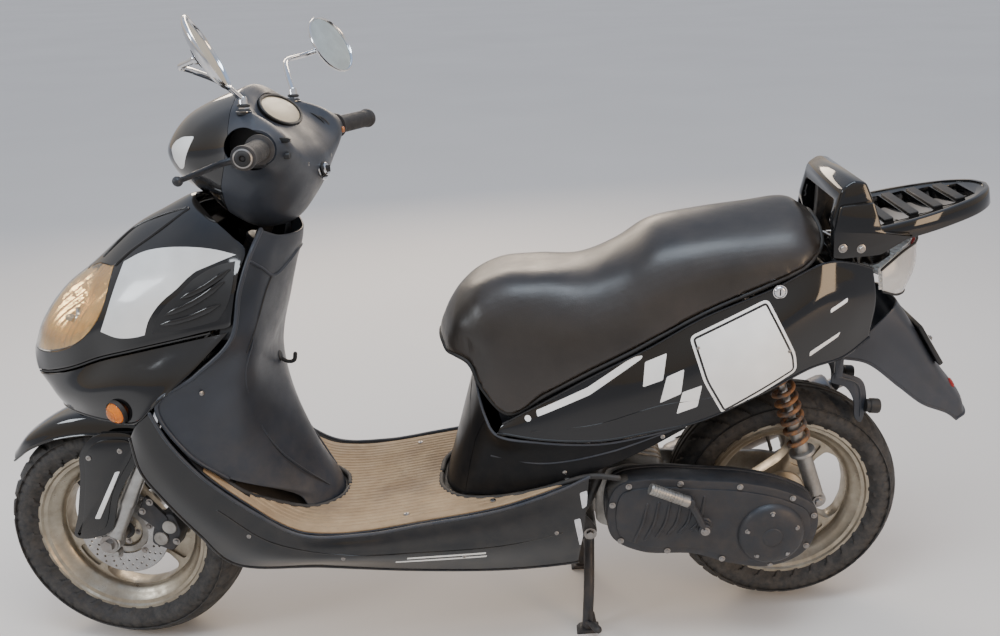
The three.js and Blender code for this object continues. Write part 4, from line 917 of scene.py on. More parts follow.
def rim(centre, spoke_degrees, body, name, node, steered):
    """A drop-centre barrel with double-stepped lips, three wide pocketed spokes and a bolted hub."""
    axle = (centre[0], 0, centre[1])
    outer = [(179, 50), (179, 47), (172, 45.5), (168, 44), (160, 35), (151, 26), (147, 12)]
    inner = [(140, 20), (144, 27), (152, 34), (156, 36), (163, 44), (170, 46), (173, 50)]
    lip = outer + [(r, -h) for r, h in outer[::-1] + inner[::-1]] + inner
    circle = [polar(centre, 144, 360 * k / 96) for k in range(96)]
    web = carved(prism(circle, -17, 17, 1), *spoke_cuts(centre, spoke_degrees))
    half_hub = [(50, 17), (48, 20), (36, 24), (34, 35), (30, 37), (0, 37)]
    hub = [(r, -h) for r, h in half_hub[::-1]] + half_hub
    parts = [("wheel", lathe(lip, axle, (0, 1, 0), 144, closed=True)), ("wheel", bevelled(web, 2.2))]
    parts.append(("wheel", lathe(hub, axle, (0, 1, 0), 64)))
    for k in range(5):
        x, z = polar(centre, 27, spoke_degrees + 36 + 72 * k)
        parts += [("steel", hex_bolt((x, side * 36.6, z), (0, side, 0), 4.4, 4)) for side in (-1, 1)]
    dust_cap = [(0, 39.5), (17, 39.5), (20, 38), (20, 36)]
    for side in (-1, 1):
        parts.append(("dark", lathe(dust_cap, axle, (0, side, 0), 32)))
    parts.append(("tyre", valve(centre, spoke_degrees + 40)))
    return piece(name, body, parts, (node,), steered, angle=30)


def brake_disc():
    """A drilled disc on a ring with six bolted arms."""
    cx, cz = FRONT_CENTRE
    ring = [(52, -44), (52, -40), (94, -40), (95, -41), (95, -43), (94, -44)]
    carrier = [(38, -40), (50, -40), (50, -33), (38, -33)]
    holes = []
    for k in range(24):
        for radius, turn in ((68, 0), (78, 5), (87, 10)):
            x, z = polar(FRONT_CENTRE, radius, 15 * k + turn)
            holes.append(rod((x, -50, z), (x, -34, z), 2.6, 0.1, 12))
    disc = lathe(ring, (cx, 0, cz), (0, 1, 0), 144, closed=True)
    parts = [("disc", carved(disc, joined(*holes)))]
    for k in range(6):
        x, z = polar(FRONT_CENTRE, 58, 60 * k + 12)
        parts.append(("steel", hex_bolt((x, -44, z), (0, -1, 0), 4.6, 3.6)))
        arm = [polar(FRONT_CENTRE, r, 60 * k + turn) for r, turn in ((50, 2), (62, 8), (62, 16), (50, 22))]
        parts.append(("disc", prism(fillet(arm, 2), -39.8, -35, 0.6)))
    parts.append(("alloy", lathe(carrier, (cx, 0, cz), (0, 1, 0), 64, closed=True)))
    piece("vis_brake_disc", "front_wheel", parts, ("brake_disc",), True)


def front_wheel():
    tyre(FRONT_CENTRE, "front_wheel", "vis_front_tyre", "front_tyre", True)
    rim(FRONT_CENTRE, 97, "front_wheel", "vis_front_rim", "front_rim", True)
    brake_disc()


def rear_wheel():
    tyre(REAR_CENTRE, "rear_wheel", "vis_rear_tyre", "rear_tyre", False)
    rim(REAR_CENTRE, 65, "rear_wheel", "vis_rear_rim", "rear_rim", False)


# ---------- fork, mudguard and brake ----------
def on_fork(s, y):
    """The point this far up a fork leg from the front axle."""
    return np.array([AXIS_UP[0] * s, y, TYRE_RADIUS + AXIS_UP[2] * s])


def on_axis(height):
    """The steering axis at this height."""
    s = (height - AXIS_FOOT[2]) / AXIS_UP[2]
    return np.array([AXIS_FOOT[0] + AXIS_UP[0] * s, 0.0, height])


def fork_leg(side):
    y = side * FORK_Y
    profile = [(9, -24), (13, -21), (15.5, -14), (17.5, -4), (17.5, 22), (16.2, 30), (16.2, 92), (17.4, 96),
               (17.4, 104), (16.2, 108), (16.2, 236), (17.4, 240), (17.5, 256), (16, 259), (14.6, 259)]
    leg = lathe(profile, on_fork(0, y), AXIS_UP, 48)
    boss = across(y - 14, y + 14, FRONT_CENTRE, 20, 2, 40)
    lug = block((28, 62), tuple(sorted((y - side * 16, y))), (350, 369), 3)
    seal = lathe([(14, 252), (16.6, 255), (16.2, 264), (14.4, 268), (13.4, 268)], on_fork(0, y), AXIS_UP, 40)
    clamp = block((-14, 12), tuple(sorted((y - 10, y + 10))), (212, 224), 2.5)
    bolt = hex_bolt((-14, y, 218), (-1, 0, 0), 4, 4)
    name = "left" if side < 0 else "right"
    piece(f"vis_fork_leg_{name}", "fork_lower",
          [("fork", leg), ("fork", boss), ("fork", lug), ("fork", clamp), ("dark", seal), ("steel", bolt)],
          (f"fork_leg_{name}",), True)


def front_axle():
    parts = [("steel", across(-110, 110, FRONT_CENTRE, 8, 1.5))]
    for side in (-1, 1):
        parts.append(("steel", hex_bolt((0, side * 101, TYRE_RADIUS), (0, side, 0), 12.5, 11)))
        parts.append(("steel", across(*sorted((side * 38, side * 68)), FRONT_CENTRE, 12, 1)))
    piece("vis_front_axle", "fork_lower", parts, ("front_axle",), True)


def fork_yoke():
    stem = tube([on_axis(606), on_axis(985)], 13, 32)
    parts = [("paint", stem)]
    outline = fillet([(165, 566), (262, 604), (250, 632), (150, 594)], 9)
    parts.append(("paint", prism(outline, -FORK_Y - 18, FORK_Y + 18, 4)))
    for side in (-1, 1):
        parts.append(("chrome", rod(on_fork(130, side * FORK_Y), on_fork(398, side * FORK_Y), 13, 1.5, 40)))
        parts.append(("paint", rod(on_fork(352, side * FORK_Y), on_fork(412, side * FORK_Y), 19, 2.5, 40)))
    parts.append(("paint", rod(on_axis(604), on_axis(648), 24, 3, 40)))
    piece("vis_fork_yoke", "steering", parts, ("fork_yoke",), True)


FENDER_ROWS = [(143, 4, 46), (128, 18, 66), (108, 30, 76), (85, 34, 78), (58, 34, 78), (28, 26, 70)]
GUARD = [(-64, 264), (-50, 258), (-20, 262), (14, 278), (44, 357), (104, 462), (84, 486), (10, 480),
         (-24, 440), (-30, 399), (-50, 312)]
GUARD_STRIPE = [(46, 408), (56, 410), (-2, 306), (-13, 306)]


def fender_point(degrees, radius, y):
    a = math.radians(degrees)
    return [radius * math.cos(a), y, TYRE_RADIUS + radius * math.sin(a)]


def fork_guard(side):
    """The flat guard beside a fork leg, with its raised middle, bridge to the arch, screws and stripe."""
    face = FORK_Y + 19

    def plate(outline, low, high, bevel):
        return prism(outline, *sorted((side * (face + low * PANEL), side * (face + high * PANEL))), bevel)

    outline = closed_smooth(GUARD, 90)
    parts = [("gloss", plate(outline, 0, 1.6, 1.6))]
    parts.append(("gloss", plate(inset(counter_clockwise(outline), 13), 1, 2.6, 2.2)))
    parts.append(("gloss", block((10, 92), tuple(sorted((side * 70, side * (face + 1)))), (464, 478), 3)))
    for x, z in ((62, 452), (-4, 436)):
        parts.append(("steel", screw_head((x, side * (face + 2.6 * PANEL), z), (0, side, 0), 5.5)))
    parts.append(("white", plate(fillet(GUARD_STRIPE, 3), 1, 3, 0.3)))
    return parts


def front_fender():
    r = FENDER_RADIUS
    rows = []
    for degrees, drop, half in FENDER_ROWS:
        row = [(r, 0), (r - 3, half * 0.5), (r - 12, half * 0.85), (r - 14 - drop, half)]
        rows.append(mirrored([fender_point(degrees, radius, -y) for radius, y in row]))
    arch = sheet(surface(rows, steps(48, 0.008), steps(96, 0.004)), PANEL, np.array([0, 0, TYRE_RADIUS]))
    parts = [("gloss", arch)]
    for side in (-1, 1):
        parts += fork_guard(side)
        edge = [fender_point(d, r - 14 - drop, side * half) for d, drop, half in FENDER_ROWS]
        parts.append(("gloss", bead(edge, 2.2, 10, 70)))
    end = [fender_point(FENDER_ROWS[0][0], r - drop, y) for drop, y in ((0, 0), (3, 23), (12, 39), (18, 46))]
    parts.append(("gloss", bead(end, 2.0, 10, 24)))
    piece("vis_front_fender", "fork_lower", parts, ("front_fender",), True)


def brake_caliper():
    body = fillet([(74, 232), (118, 216), (140, 262), (128, 300), (96, 296), (80, 262)], 9)
    slot = [(60, 200), (105, 200), (118, 262), (100, 320), (60, 320)]
    caliper = bevelled(carved(prism(body, -74, -28, 3), prism(slot, -48, -36, 0.3)), 1)
    bracket = prism(fillet([(53, 297), (96, 262), (118, 290), (76, 340)], 6), -76, -67, 1.2)
    parts = [("cast", caliper), ("cast", bracket)]
    piston_cap = [(13, 72), (15, 75), (14, 78), (9, 79), (0, 79)]
    for x, z in ((97, 246), (118, 272)):
        parts.append(("alloy", lathe(piston_cap, (x, 0, z), (0, -1, 0), 40)))
    for x, z in ((66, 306), (84, 326), (128, 240)):
        parts.append(("steel", hex_bolt((x, -75.5, z), (0, -1, 0), 5, 5)))
    parts.append(("steel", rod((122, -60, 296), (128, -60, 312), 4, 0.6)))
    for y in (-50.5, -33.5):
        parts.append(("steel", block((84, 116), tuple(sorted((y - 1.5, y + 1.5))), (238, 288), 0.8)))
    piece("vis_brake_caliper", "fork_lower", parts, ("brake_caliper",), True)


# ---------- handlebar and its cover ----------
GRIP_ROOT = (432, 1032)
GRIP_SWEEP = 40
COVER_SECTIONS = [
    (0, [(195, 1011), (208, 1040), (242, 1076), (292, 1102), (342, 1120), (370, 1126),
         (414, 1078), (458, 1030), (478, 1000), (474, 962), (452, 920), (420, 884),
         (368, 868), (322, 886), (264, 929), (214, 970)]),
    (52, [(214, 1012), (226, 1040), (256, 1072), (300, 1096), (344, 1112), (368, 1118),
          (412, 1074), (456, 1032), (475, 1002), (470, 964), (446, 926), (412, 896),
          (366, 882), (324, 898), (276, 938), (230, 975)]),
    (100, [(266, 1018), (276, 1040), (298, 1064), (328, 1082), (358, 1094), (380, 1098),
           (418, 1070), (455, 1040), (474, 1014), (466, 982), (440, 954), (408, 938),
           (372, 930), (338, 942), (304, 965), (276, 990)]),
    (138, [(350, 1024), (354, 1042), (364, 1058), (380, 1070), (400, 1078), (420, 1080),
           (444, 1070), (464, 1052), (474, 1032), (470, 1010), (458, 994), (440, 984),
           (420, 980), (398, 982), (376, 992), (358, 1006)]),
    (176, [(392, 1030), (394, 1040), (400, 1050), (408, 1057), (420, 1062), (432, 1063),
           (446, 1060), (457, 1052), (464, 1040), (464, 1026), (458, 1014), (446, 1006),
           (432, 1003), (418, 1005), (404, 1012), (396, 1020)]),
]
COVER_SEAM = [(356, 1150), (372, 1040), (330, 960), (300, 850)]
COVER_MOUTH = (406, 1029, 46, 36)
CLUSTER_CENTRE = np.array([408.0, 0.0, 1079.0])
CLUSTER_SLOPE = math.radians(-46)
CLUSTER_HALF = (36, 74)
CLUSTER_UP = np.array([-math.sin(CLUSTER_SLOPE), 0, math.cos(CLUSTER_SLOPE)])
CLUSTER_DOWN = np.array([math.cos(CLUSTER_SLOPE), 0, math.sin(CLUSTER_SLOPE)])
SIDEWAYS = np.array([0, 1.0, 0])
NOSE_PATCH = [(231, 1024), (244, 1036), (264, 1044), (294, 1047), (284, 1032), (270, 1010), (258, 990),
              (246, 986), (235, 1002)]
BOOT = [(12, 0), (29, 0), (30, 3), (26, 6), (28, 10), (24, 13), (25, 17), (20, 21), (18, 28), (12, 28)]


def grip_point(y):
    """The handlebar's centre line, swept back and up outside its middle."""
    t = max(0.0, abs(y) - 140) / 190
    return np.array([GRIP_ROOT[0] + GRIP_SWEEP * t, y, GRIP_ROOT[1] + 4 * t])


def cover_body(inset_by):
    """The cover's whole form. Pulled in for its hollow, it also runs on past both ends."""
    rings = []
    for y, outline in COVER_SECTIONS:
        ring = closed_smooth(outline, 112)
        middle = ring.mean(0)
        away = ring - middle
        length = np.linalg.norm(away, axis=1, keepdims=True)
        ring = middle + away * (length - inset_by) / length
        rings.append(np.stack([ring[:, 0], np.full(len(ring), float(y)), ring[:, 1]], 1))
    both = np.array([r * [1, -1, 1] for r in rings[:0:-1]] + rings)
    fine = catmull(both, np.linspace(0, len(both) - 1, 73))
    if inset_by:
        reach = np.array([0, 6.0, 0])
        fine = np.concatenate([[fine[0] - reach], fine, [fine[-1] + reach]])
    return loft(fine)


def mouth_ring(y, grow=0.0):
    """The oval opening round the bar end at this y."""
    x, z, half_x, half_z = COVER_MOUTH
    turn = np.linspace(0, 2 * np.pi, 72, endpoint=False)
    across_x, across_z = (half_x + grow) * np.cos(turn), (half_z + grow) * np.sin(turn)
    return np.stack([x + across_x, np.full(72, float(y)), z + across_z], 1)


def cluster_part(profile):
    """An oval body of (growth of the outline, height along the dial's normal) pairs."""
    turn = np.linspace(0, 2 * np.pi, 96, endpoint=False)
    cos, sin = np.cos(turn)[:, None], np.sin(turn)[:, None]
    rings = []
    for grow, height in profile:
        down, across_by = (max(half + grow, 0.5) for half in CLUSTER_HALF)
        ring = CLUSTER_CENTRE + cos * CLUSTER_DOWN * down + sin * SIDEWAYS * across_by
        rings.append(ring + CLUSTER_UP * height)
    return loft(rings)


def on_dial(across_share, down_share, height):
    """A point on the dial, as shares of its half width and half height."""
    flat = SIDEWAYS * across_share * CLUSTER_HALF[1] + CLUSTER_DOWN * down_share * CLUSTER_HALF[0]
    return CLUSTER_CENTRE + flat + CLUSTER_UP * height


def cover_holes():
    """What is cut from the covers: bars, mouths, mirror bolts, key, buttons, switch and dial."""
    holes = []
    for side in (-1, 1):
        a, b = grip_point(200), grip_point(130)
        holes.append(rod((a[0], side * 220, a[2]), (b[0], side * 130, b[2]), 19))
        mouth = [mouth_ring(side * 112, -6), mouth_ring(side * 150), mouth_ring(side * 260, 8)]
        holes.append(loft(mouth[::side]))
        holes.append(rod((MIRROR_BASE[0], side * 118, 1040), (MIRROR_BASE[0], side * 118, 1130), 8.5, 0.2))
    holes.append(rod((430, 0, 963), (500, 0, 978), 13, 0.2))
    holes.append(rod((400, 150, 1030), (520, 150, 1030), 6.5, 0.2, 24))
    holes.append(rod((400, -148, 1017), (520, -148, 1017), 6.5, 0.2, 24))
    holes.append(block((400, 520), (-159.5, -140.5), (1038.5, 1047.5), 0.6))
    holes.append(cluster_part([(2, -26), (2, 60)]))
    return holes


def handlebar_covers():
    """The hollow cover, cut along its seam into the front half and the rear half."""
    whole = carved(cover_body(0), cover_body(4), rod(on_axis(820), on_axis(940), 34), *cover_holes())
    halves = []
    for gap, end in ((-0.5, 150), (0.5, 520)):
        half = prism([(x + gap, z) for x, z in COVER_SEAM] + [(end, 850), (end, 1150)], -250, 250, 0.1)
        halves.append(carved(whole, half, operation="INTERSECT"))
    front_cover(halves[0])
    rear_cover(halves[1])


def front_cover(half):
    target = ray_target(cover_body(0))
    parts = [("gloss", half)]
    for side in (-1, 1):
        parts.append(("white", patch(target, list(fillet(NOSE_PATCH, 6, 5)), side, 0.6)))
    piece("vis_handlebar_cover_front", "steering", parts, ("handlebar_cover_front",), True)


def rear_cover(half):
    """The rear half with its boots, a dark plate inside each mouth as painted shade, the dial's rim, the key
    plate, screws and mirror feet.
    """
    parts = [("matte", half)]
    for side in (-1, 1):
        # a dark oval plate just inside each mouth: painted shade in the recess
        parts.append(("dark", loft([mouth_ring(side * 110, 5), mouth_ring(side * 106, 5)][::-side])))
        parts.append(("grip", lathe(BOOT, grip_point(side * 112), (0, side, 0), 48, closed=True)))
    dial_rim = [(0.4, 1.5), (1.8, 4.5), (0.6, 6.5), (-3.5, 6.2), (-4.2, 3), (-4.2, -4)]
    parts.append(("dark", cluster_part(dial_rim)))
    key_plate = [(13.4, 0), (19, 0.5), (20, 2.4), (18, 4), (13.8, 4)]
    parts.append(("chrome", lathe(key_plate, (474.5, 0, 972.3), (0.98, 0, 0.2), 48, closed=True)))
    mirror_foot = [(9, -2), (13, 0), (12, 6), (9.2, 9)]
    for side in (-1, 1):
        parts.append(("steel", screw_head((474, side * 62, 992), (0.97, 0.1 * side, 0.05), 4.5)))
        parts.append(("dark", lathe(mirror_foot, (MIRROR_BASE[0], side * 118, 1084), (0, 0, 1), 32)))
    piece("vis_handlebar_cover_rear", "steering", parts, ("handlebar_cover_rear",), True)


def instrument_pod():
    parts = [("dark", cluster_part([(-0.4, -24), (-0.4, -3), (-4.6, -3), (-4.6, -6)]))]
    # the dial face is brightened as painted light
    parts.append(("dial", cluster_part([(-5, -5), (-5, -2.6), (-6, -2.2)])))
    for k in range(13):
        a = math.radians(200 - 220 * k / 12)
        inner = on_dial(0.56 * math.cos(a) - 0.06, -0.62 * math.sin(a) + 0.12, -1.6)
        outer = on_dial(0.66 * math.cos(a) - 0.06, -0.74 * math.sin(a) + 0.12, -1.6)
        parts.append(("black_ink", rod(inner, outer, 0.9, 0.2, 8)))
    parts.append(("red", rod(on_dial(-0.06, 0.12, -0.6), on_dial(-0.4, -0.3, -0.6), 0.9, 0.2, 8)))
    parts.append(("dark", rod(on_dial(-0.06, 0.12, -2), on_dial(-0.06, 0.12, 0.4), 4.5, 0.8, 24)))
    for share, colour in ((0.74, "amber"), (0.84, "red"), (-0.86, "amber")):
        parts.append((colour, rod(on_dial(share, 0.2, -2.4), on_dial(share, 0.2, -0.8), 3, 0.5, 20)))
    glass = cluster_part([(-4.4, 1.2), (-4.4, 3.4), (-14, 6.0), (-26, 7.4), (-35, 7.8)])
    # the window's warm tint is painted light on the dial
    parts.append(("dial_window_painted_light", glass))
    piece("vis_instrument_pod", "steering", parts, ("instrument_pod",), True)


def handlebar():
    half = [150, 175, 210, 250, 285, 322]
    path = [grip_point(-y) for y in half[::-1]] + [grip_point(0)] + [grip_point(y) for y in half]
    parts = [("paint", tube(smooth(path, 60), 11, 28))]
    px, py, pz = LEVER_PIVOT
    for side in (-1, 1):
        y = side * -py
        parts.append(("cast", block((px - 9, 446), (y - 6, y + 6), (pz - 14, pz - 7), 2)))
        parts.append(("cast", block((px - 6, 446), (y - 6, y + 6), (pz + 6, pz + 11), 1.5)))
        parts.append(("cast", block((420, 446), (y - 6, y + 6), (pz - 14, pz + 11), 2)))
        parts.append(("steel", rod((px, y, pz - 15), (px, y, pz + 13), 3, 0.5)))
        parts.append(("steel", hex_bolt((px, y, pz + 10.5), (0, 0, 1), 4.5, 4)))
        x, _, z = grip_point(y)
        parts.append(("cast", rod((x, y - 7, z), (x, y + 7, z), 17, 2, 40)))
    parts.append(("paint", rod(on_axis(988), on_axis(1024), 17, 2)))
    piece("vis_handlebar", "steering", parts, ("handlebar",), True)


def grip(side, body, name, node):
    """A rubber grip with rings round it, a flange at its inner end and a weight at the bar's end."""
    a, b = grip_point(side * 196), grip_point(side * 324)
    length = np.linalg.norm(b - a)
    profile = [(12.6, -3), (24, -3), (24.4, -1), (24, 1.5), (18.5, 3)]
    for h in np.arange(6, length - 8, 4.4):
        profile += [(17.3, h), (17.3, h + 2.6), (16.2, h + 3.1), (16.2, h + 3.9)]
    profile += [(19, length - 4), (19.4, length), (18.6, length + 4), (12.6, length + 5)]
    parts = [("grip", lathe(profile, a, b - a, 56, closed=True))]
    plug = [(9, -2), (12, 4.5), (12.4, 8), (9, 10.5), (5, 10.5), (5, 5), (0, 5)]
    parts.append(("dark", lathe(plug, b, b - a, 32)))
    parts.append(("steel", lathe([(12.4, 4), (14.6, 5), (14.6, 8), (12.4, 9)], b, b - a, 40, closed=True)))
    piece(name, body, parts, (node,), True, angle=38)


def brake_lever(side, body, name, node):
    px, py, pz = LEVER_PIVOT
    path = smooth([LEVER_PIVOT, (px - 18, py - 24, pz - 4), (px - 30, py - 66, pz - 10), LEVER_END], 40)
    width = np.interp(np.linspace(0, 1, 40), [0, 0.2, 0.8, 1], [6.2, 5.6, 4.6, 4.4])
    blade = tube(path, width, 20, flat=0.72)
    boss = rod((px, py, pz - 4.5), (px, py, pz + 5), 8.4, 1)
    parts = [("cast", blade), ("cast", ball(LEVER_END, 8.2)), ("cast", boss)]
    piece(name, body, other_side(parts) if side > 0 else parts, (node,), True)


def mirror_stem():
    base = np.array(MIRROR_BASE, float)
    ball_at = MIRROR_CENTRE - MIRROR_NORMAL * 18
    bends = [(0, 0, 22), (-18, -30, 50), (-40, -90, 74), (-28, -150, 82)]
    path = [base + bend for bend in bends] + [ball_at]
    collar = [(7.6, -14), (8, -12), (8, 12), (7.2, 14), (7.2, 24), (5.4, 27)]
    parts = [("chrome", tube(smooth(path, 60), 4.8, 20)), ("chrome", lathe(collar, base, (0, 0, 1), 32))]
    parts.append(("chrome", hex_bolt(base + [0, 0, 2], (0, 0, 1), 9.6, 8)))
    parts.append(("dark", lathe([(10.6, 10), (10.6, 13), (8, 15)], base, (0, 0, 1), 32)))
    parts.append(("chrome", ball(ball_at, 8)))
    return parts


def mirror_head():
    r = MIRROR_RADIUS
    cup = [(11.5, -15.5), (22, -14.5), (44, -10.2), (56, -5), (r, -1), (r + 0.6, 1.4), (r, 3.6), (r - 2, 4),
           (r - 3.6, 2.6), (r - 4.4, 0.4), (11.5, -4)]
    glass = [(0, 2.3), (12, 2.25), (26, 2.0), (40, 1.5), (50, 1.0), (r - 3.9, 0.6), (r - 3.9, -1), (0, -1)]
    seal = [(11.4, -15), (16, -15), (15, -17), (12, -17)]
    return [("chrome", lathe(cup, MIRROR_CENTRE, MIRROR_NORMAL, 96, closed=True)),
            ("mirror", lathe(glass, MIRROR_CENTRE, MIRROR_NORMAL, 96)),
            ("dark", lathe(seal, MIRROR_CENTRE, MIRROR_NORMAL, 32, closed=True))]


def mirror(side, name):
    turned = other_side if side > 0 else list
    stem, head = f"mirror_stem_{name}", f"mirror_head_{name}"
    piece(f"vis_{stem}", f"{name}_mirror_arm", turned(mirror_stem()), (stem,), True)
    piece(f"vis_{head}", f"{name}_mirror", turned(mirror_head()), (head,), True)


def ignition_lock():
    start, end = np.array([440, 0, 965.0]), np.array([487, 0, 975.0])
    collar = [(12.4, -8), (14.5, -7), (14.5, -5), (12.4, -4)]
    parts = [("chrome", rod(start, end, 12, 1.5, 40)), ("dark", block((484, 492), (-1, 1), (969, 981), 0.3))]
    parts.append(("dark", lathe(collar, end, end - start, 40, closed=True)))
    piece("vis_ignition_lock", "ignition", parts, ("ignition_lock",), True)


def button(name, body, y, z, material):
    cap = [(6, 0), (6, 20), (5.2, 21.6), (3, 21.2), (0, 21)]
    piece(f"vis_{name}", body, [(material, lathe(cap, (454, y, z), (1, 0, 0), 32))], (name,), True)


def turn_switch():
    rocker = [(454, 1039), (476, 1039), (480, 1041), (478, 1043), (480, 1045), (476, 1047), (454, 1047)]
    parts = [("dark", prism(rocker, -155, -145, 0.8))]
    piece("vis_turn_switch", "turn_signal_switch", parts, ("turn_switch",), True)


def steering_group():
    front_wheel()
    fork_leg(-1)
    fork_leg(1)
    front_axle()
    fork_yoke()
    front_fender()
    brake_caliper()
    handlebar_covers()
    instrument_pod()
    handlebar()
    grip(-1, "steering", "vis_left_grip", "left_grip")
    grip(1, "throttle", "vis_throttle_grip", "throttle_grip")
    brake_lever(-1, "rear_brake_lever", "vis_brake_lever_left", "brake_lever_left")
    brake_lever(1, "front_brake_lever", "vis_brake_lever_right", "brake_lever_right")
    mirror(-1, "left")
    mirror(1, "right")
    ignition_lock()
    button("starter_button", "starter", 150, 1030, "amber")
    button("horn_button", "horn", -148, 1017, "dark")
    turn_switch()


# ---------- bodywork ----------
def shell_of(rows, across_count, along_count, inside, symmetric=True):
    """A moulded panel through the rows, and its outside as a ray target."""
    rows = [mirrored(row) for row in rows] if symmetric else rows
    grid = surface(rows, steps(across_count), steps(along_count))
    target = ray_target((grid.reshape(-1, 3), grid_faces(*grid.shape[:2])))
    return sheet(grid, PANEL, np.array(inside, float)), target


def under_floor(top):
    return prism([(x, z + top) for x, z in FLOOR] + [(960, 100), (150, 100), (150, 512)], -260, 260, 0.2)


def layers(target, outline, side, finishes):
    """Patches on one outline, each as (material, how far in, how high)."""
    outline = counter_clockwise(outline)
    return [(material, patch(target, inset(outline, by), side, lift)) for material, by, lift in finishes]


def bead(row_points, radius, sides, count=90):
    """A thin round edge along a row of points."""
    return tube(smooth(row_points, count), radius, sides)


COWL_INSIDE = (120, 0, 640)
BULB_AT = (8.0, 62.0, 720.0)
FLUTE_WIDTH = 11.0
VENT_TOP = [(342, 860), (310, 850), (281, 839), (254, 822), (230, 801), (208, 785), (190, 768), (172, 744),
            (161, 718)]
WHITE_EDGES = [[(74, 718), (91, 752), (104, 785), (114, 812), (122, 835)],
               [(122, 835), (160, 853), (208, 864), (260, 868), (300, 866), (342, 860)],
               VENT_TOP,
               [(161, 718), (136, 712), (104, 710), (74, 718)]]
# outline of the vent's dark plate, painted shade for the openings between the slats
VENT_EDGES = [[(340, 850), (312, 843), (285, 832), (258, 815), (236, 795), (214, 779), (196, 760), (182, 738),
               (176, 722)],
              [(176, 722), (220, 728), (268, 738), (300, 748)],
              [(300, 748), (320, 775), (334, 812), (340, 850)]]
VENT_SLATS = [((205, 756), (262, 780), (318, 815)), ((194, 738), (250, 752), (306, 776)),
              ((238, 786), (284, 806), (330, 836))]


def nose_cowl():
    skin, target = shell_of(COWL, 130, 90, COWL_INSIDE)
    parts = [("gloss", carved(skin, prism(curved(LENS_EDGES), -260, 260, 0.2)))]
    for side in (-1, 1):
        parts.append(("white", patch(target, curved(WHITE_EDGES), side, 0.7, 16, 5)))
        # flat dark plate under the slats: painted shade in the vent's openings
        parts.append(("dark", patch(target, curved(VENT_EDGES), side, 0.5, 14, 5)))
        for slat in VENT_SLATS:
            path = smooth([(x, 0, z) for x, z in slat], 26)
            top = surface_line(target, [(x, z) for x, _, z in path], side, 1.5)
            thick = np.interp(np.linspace(0, 1, len(top)), [0, 0.15, 0.8, 1], [1.0, 5.0, 5.5, 1.5])
            parts.append(("gloss", tube(top, thick, 14, flat=0.55)))
    shoulder = [(240, -58, 920), (207, -66, 899), (169, -73, 874), (133, -77, 851), (104, -83, 828)]
    spine = [(235, -54, 921), (183, -35, 905), (127, -22, 881), (97, -28, 859), (65, -34, 831)]
    front = [[x, y, z + 5.5] for x, y, z in APRON[0][1:-1]]
    parts.append(("gloss", both_sides(bead(shoulder, 3, 12, 60))))
    parts.append(("gloss", both_sides(bead(spine, 2.4, 12, 60))))
    parts.append(("dark", both_sides(bead(front, 1.6, 8))))
    for side in (-1, 1):
        parts.append(("steel", screw_head((-101, side * 22, 619), (-1, 0, -0.2), 4)))
    piece("vis_nose_cowl", "chassis", parts, ("nose_cowl",))


def headlight():
    """The lens, the fluted reflector behind it and a bulb on each side. The reflector's gold tint is a
    painted warm reflection.
    """
    inside = np.array(COWL_INSIDE, float)
    grid = surface([mirrored(row) for row in COWL[:6]], steps(120), steps(70))
    inward = normals_of(grid, inside)
    mask = prism(inset(counter_clockwise(curved(LENS_EDGES)), 1.0), -260, 260, 0.2)
    glass = carved(sheet(grid, 2.4, inside), mask, operation="INTERSECT")
    x, y = grid[..., 0:1], grid[..., 1:2]
    flute = 1.1 * np.cos(y * (2 * np.pi / FLUTE_WIDTH))
    bx, by, _ = BULB_AT
    depth = 5 + 22 * np.exp(-(((x - bx - 2) / 48) ** 2 + ((np.abs(y) - by) / 30) ** 2))
    bowl = sheet(grid + inward * (depth + flute), 2.0, inside + [40, 0, 0])
    # the reflector's gold tint is a painted warm reflection
    parts = [("clear", glass), ("reflector", carved(bowl, mask, operation="INTERSECT"))]
    bulb = [(0, 22), (4, 21), (6.5, 17), (7, 12), (5, 6), (5, 0), (9, 0), (9, -6), (0, -6)]
    ring = [(15, 2), (17, 6), (20, 8), (22, 6), (22, 2), (18, 0)]
    for side in (-1, 1):
        at = np.array(BULB_AT) * [1, side, 1]
        facing = np.array([-0.82, side * 0.42, 0.38])
        parts.append(("frosted", lathe(bulb, at, facing, 32)))
        parts.append(("chrome", lathe(ring, at, facing, 48, closed=True)))
    piece("vis_headlight_lens", "chassis", parts, ("headlight_lens",))


def front_apron():
    skin, _ = shell_of(APRON, 130, 50, (300, 0, 600))
    parts = [("gloss", skin)]
    parts.append(("gloss", both_sides(bead([[x + 1, y, z + 0.5] for x, y, z in APRON[2]], 2.6, 10))))
    for side in (-1, 1):
        parts.append(("steel", screw_head((205, side * 190, 640), (-0.5, side * 0.85, -0.1), 4.5)))
    piece("vis_front_apron", "chassis", parts, ("front_apron",))


def front_signals():
    facing = np.array([-0.5, -0.86, -0.08])
    dome = [(0, 13.6), (5, 13.3), (5.4, 12.6), (9.6, 11.8), (10, 11.0), (13.6, 9.4), (14, 8.6), (17.4, 6.0),
            (19.6, 2.6), (20.4, 0), (20.4, -4), (0, -4)]
    bezel = [(20.6, -6), (20.6, 1.2), (21.6, 2.2), (22.8, 1.6), (23.6, -1.5), (23.6, -6)]
    stub = [(0, -5), (11, -6), (11, -26), (14, -30), (14, -34), (0, -34)]
    left = [("amber", lathe(dome, SIGNAL, facing, 56)),
            ("dark", lathe(bezel, SIGNAL, facing, 56, closed=True)),
            ("dark", lathe(stub, SIGNAL, facing, 32))]
    for name, parts in (("left", left), ("right", other_side(left))):
        piece(f"vis_front_signal_{name}", "chassis", parts, (f"front_signal_{name}",))


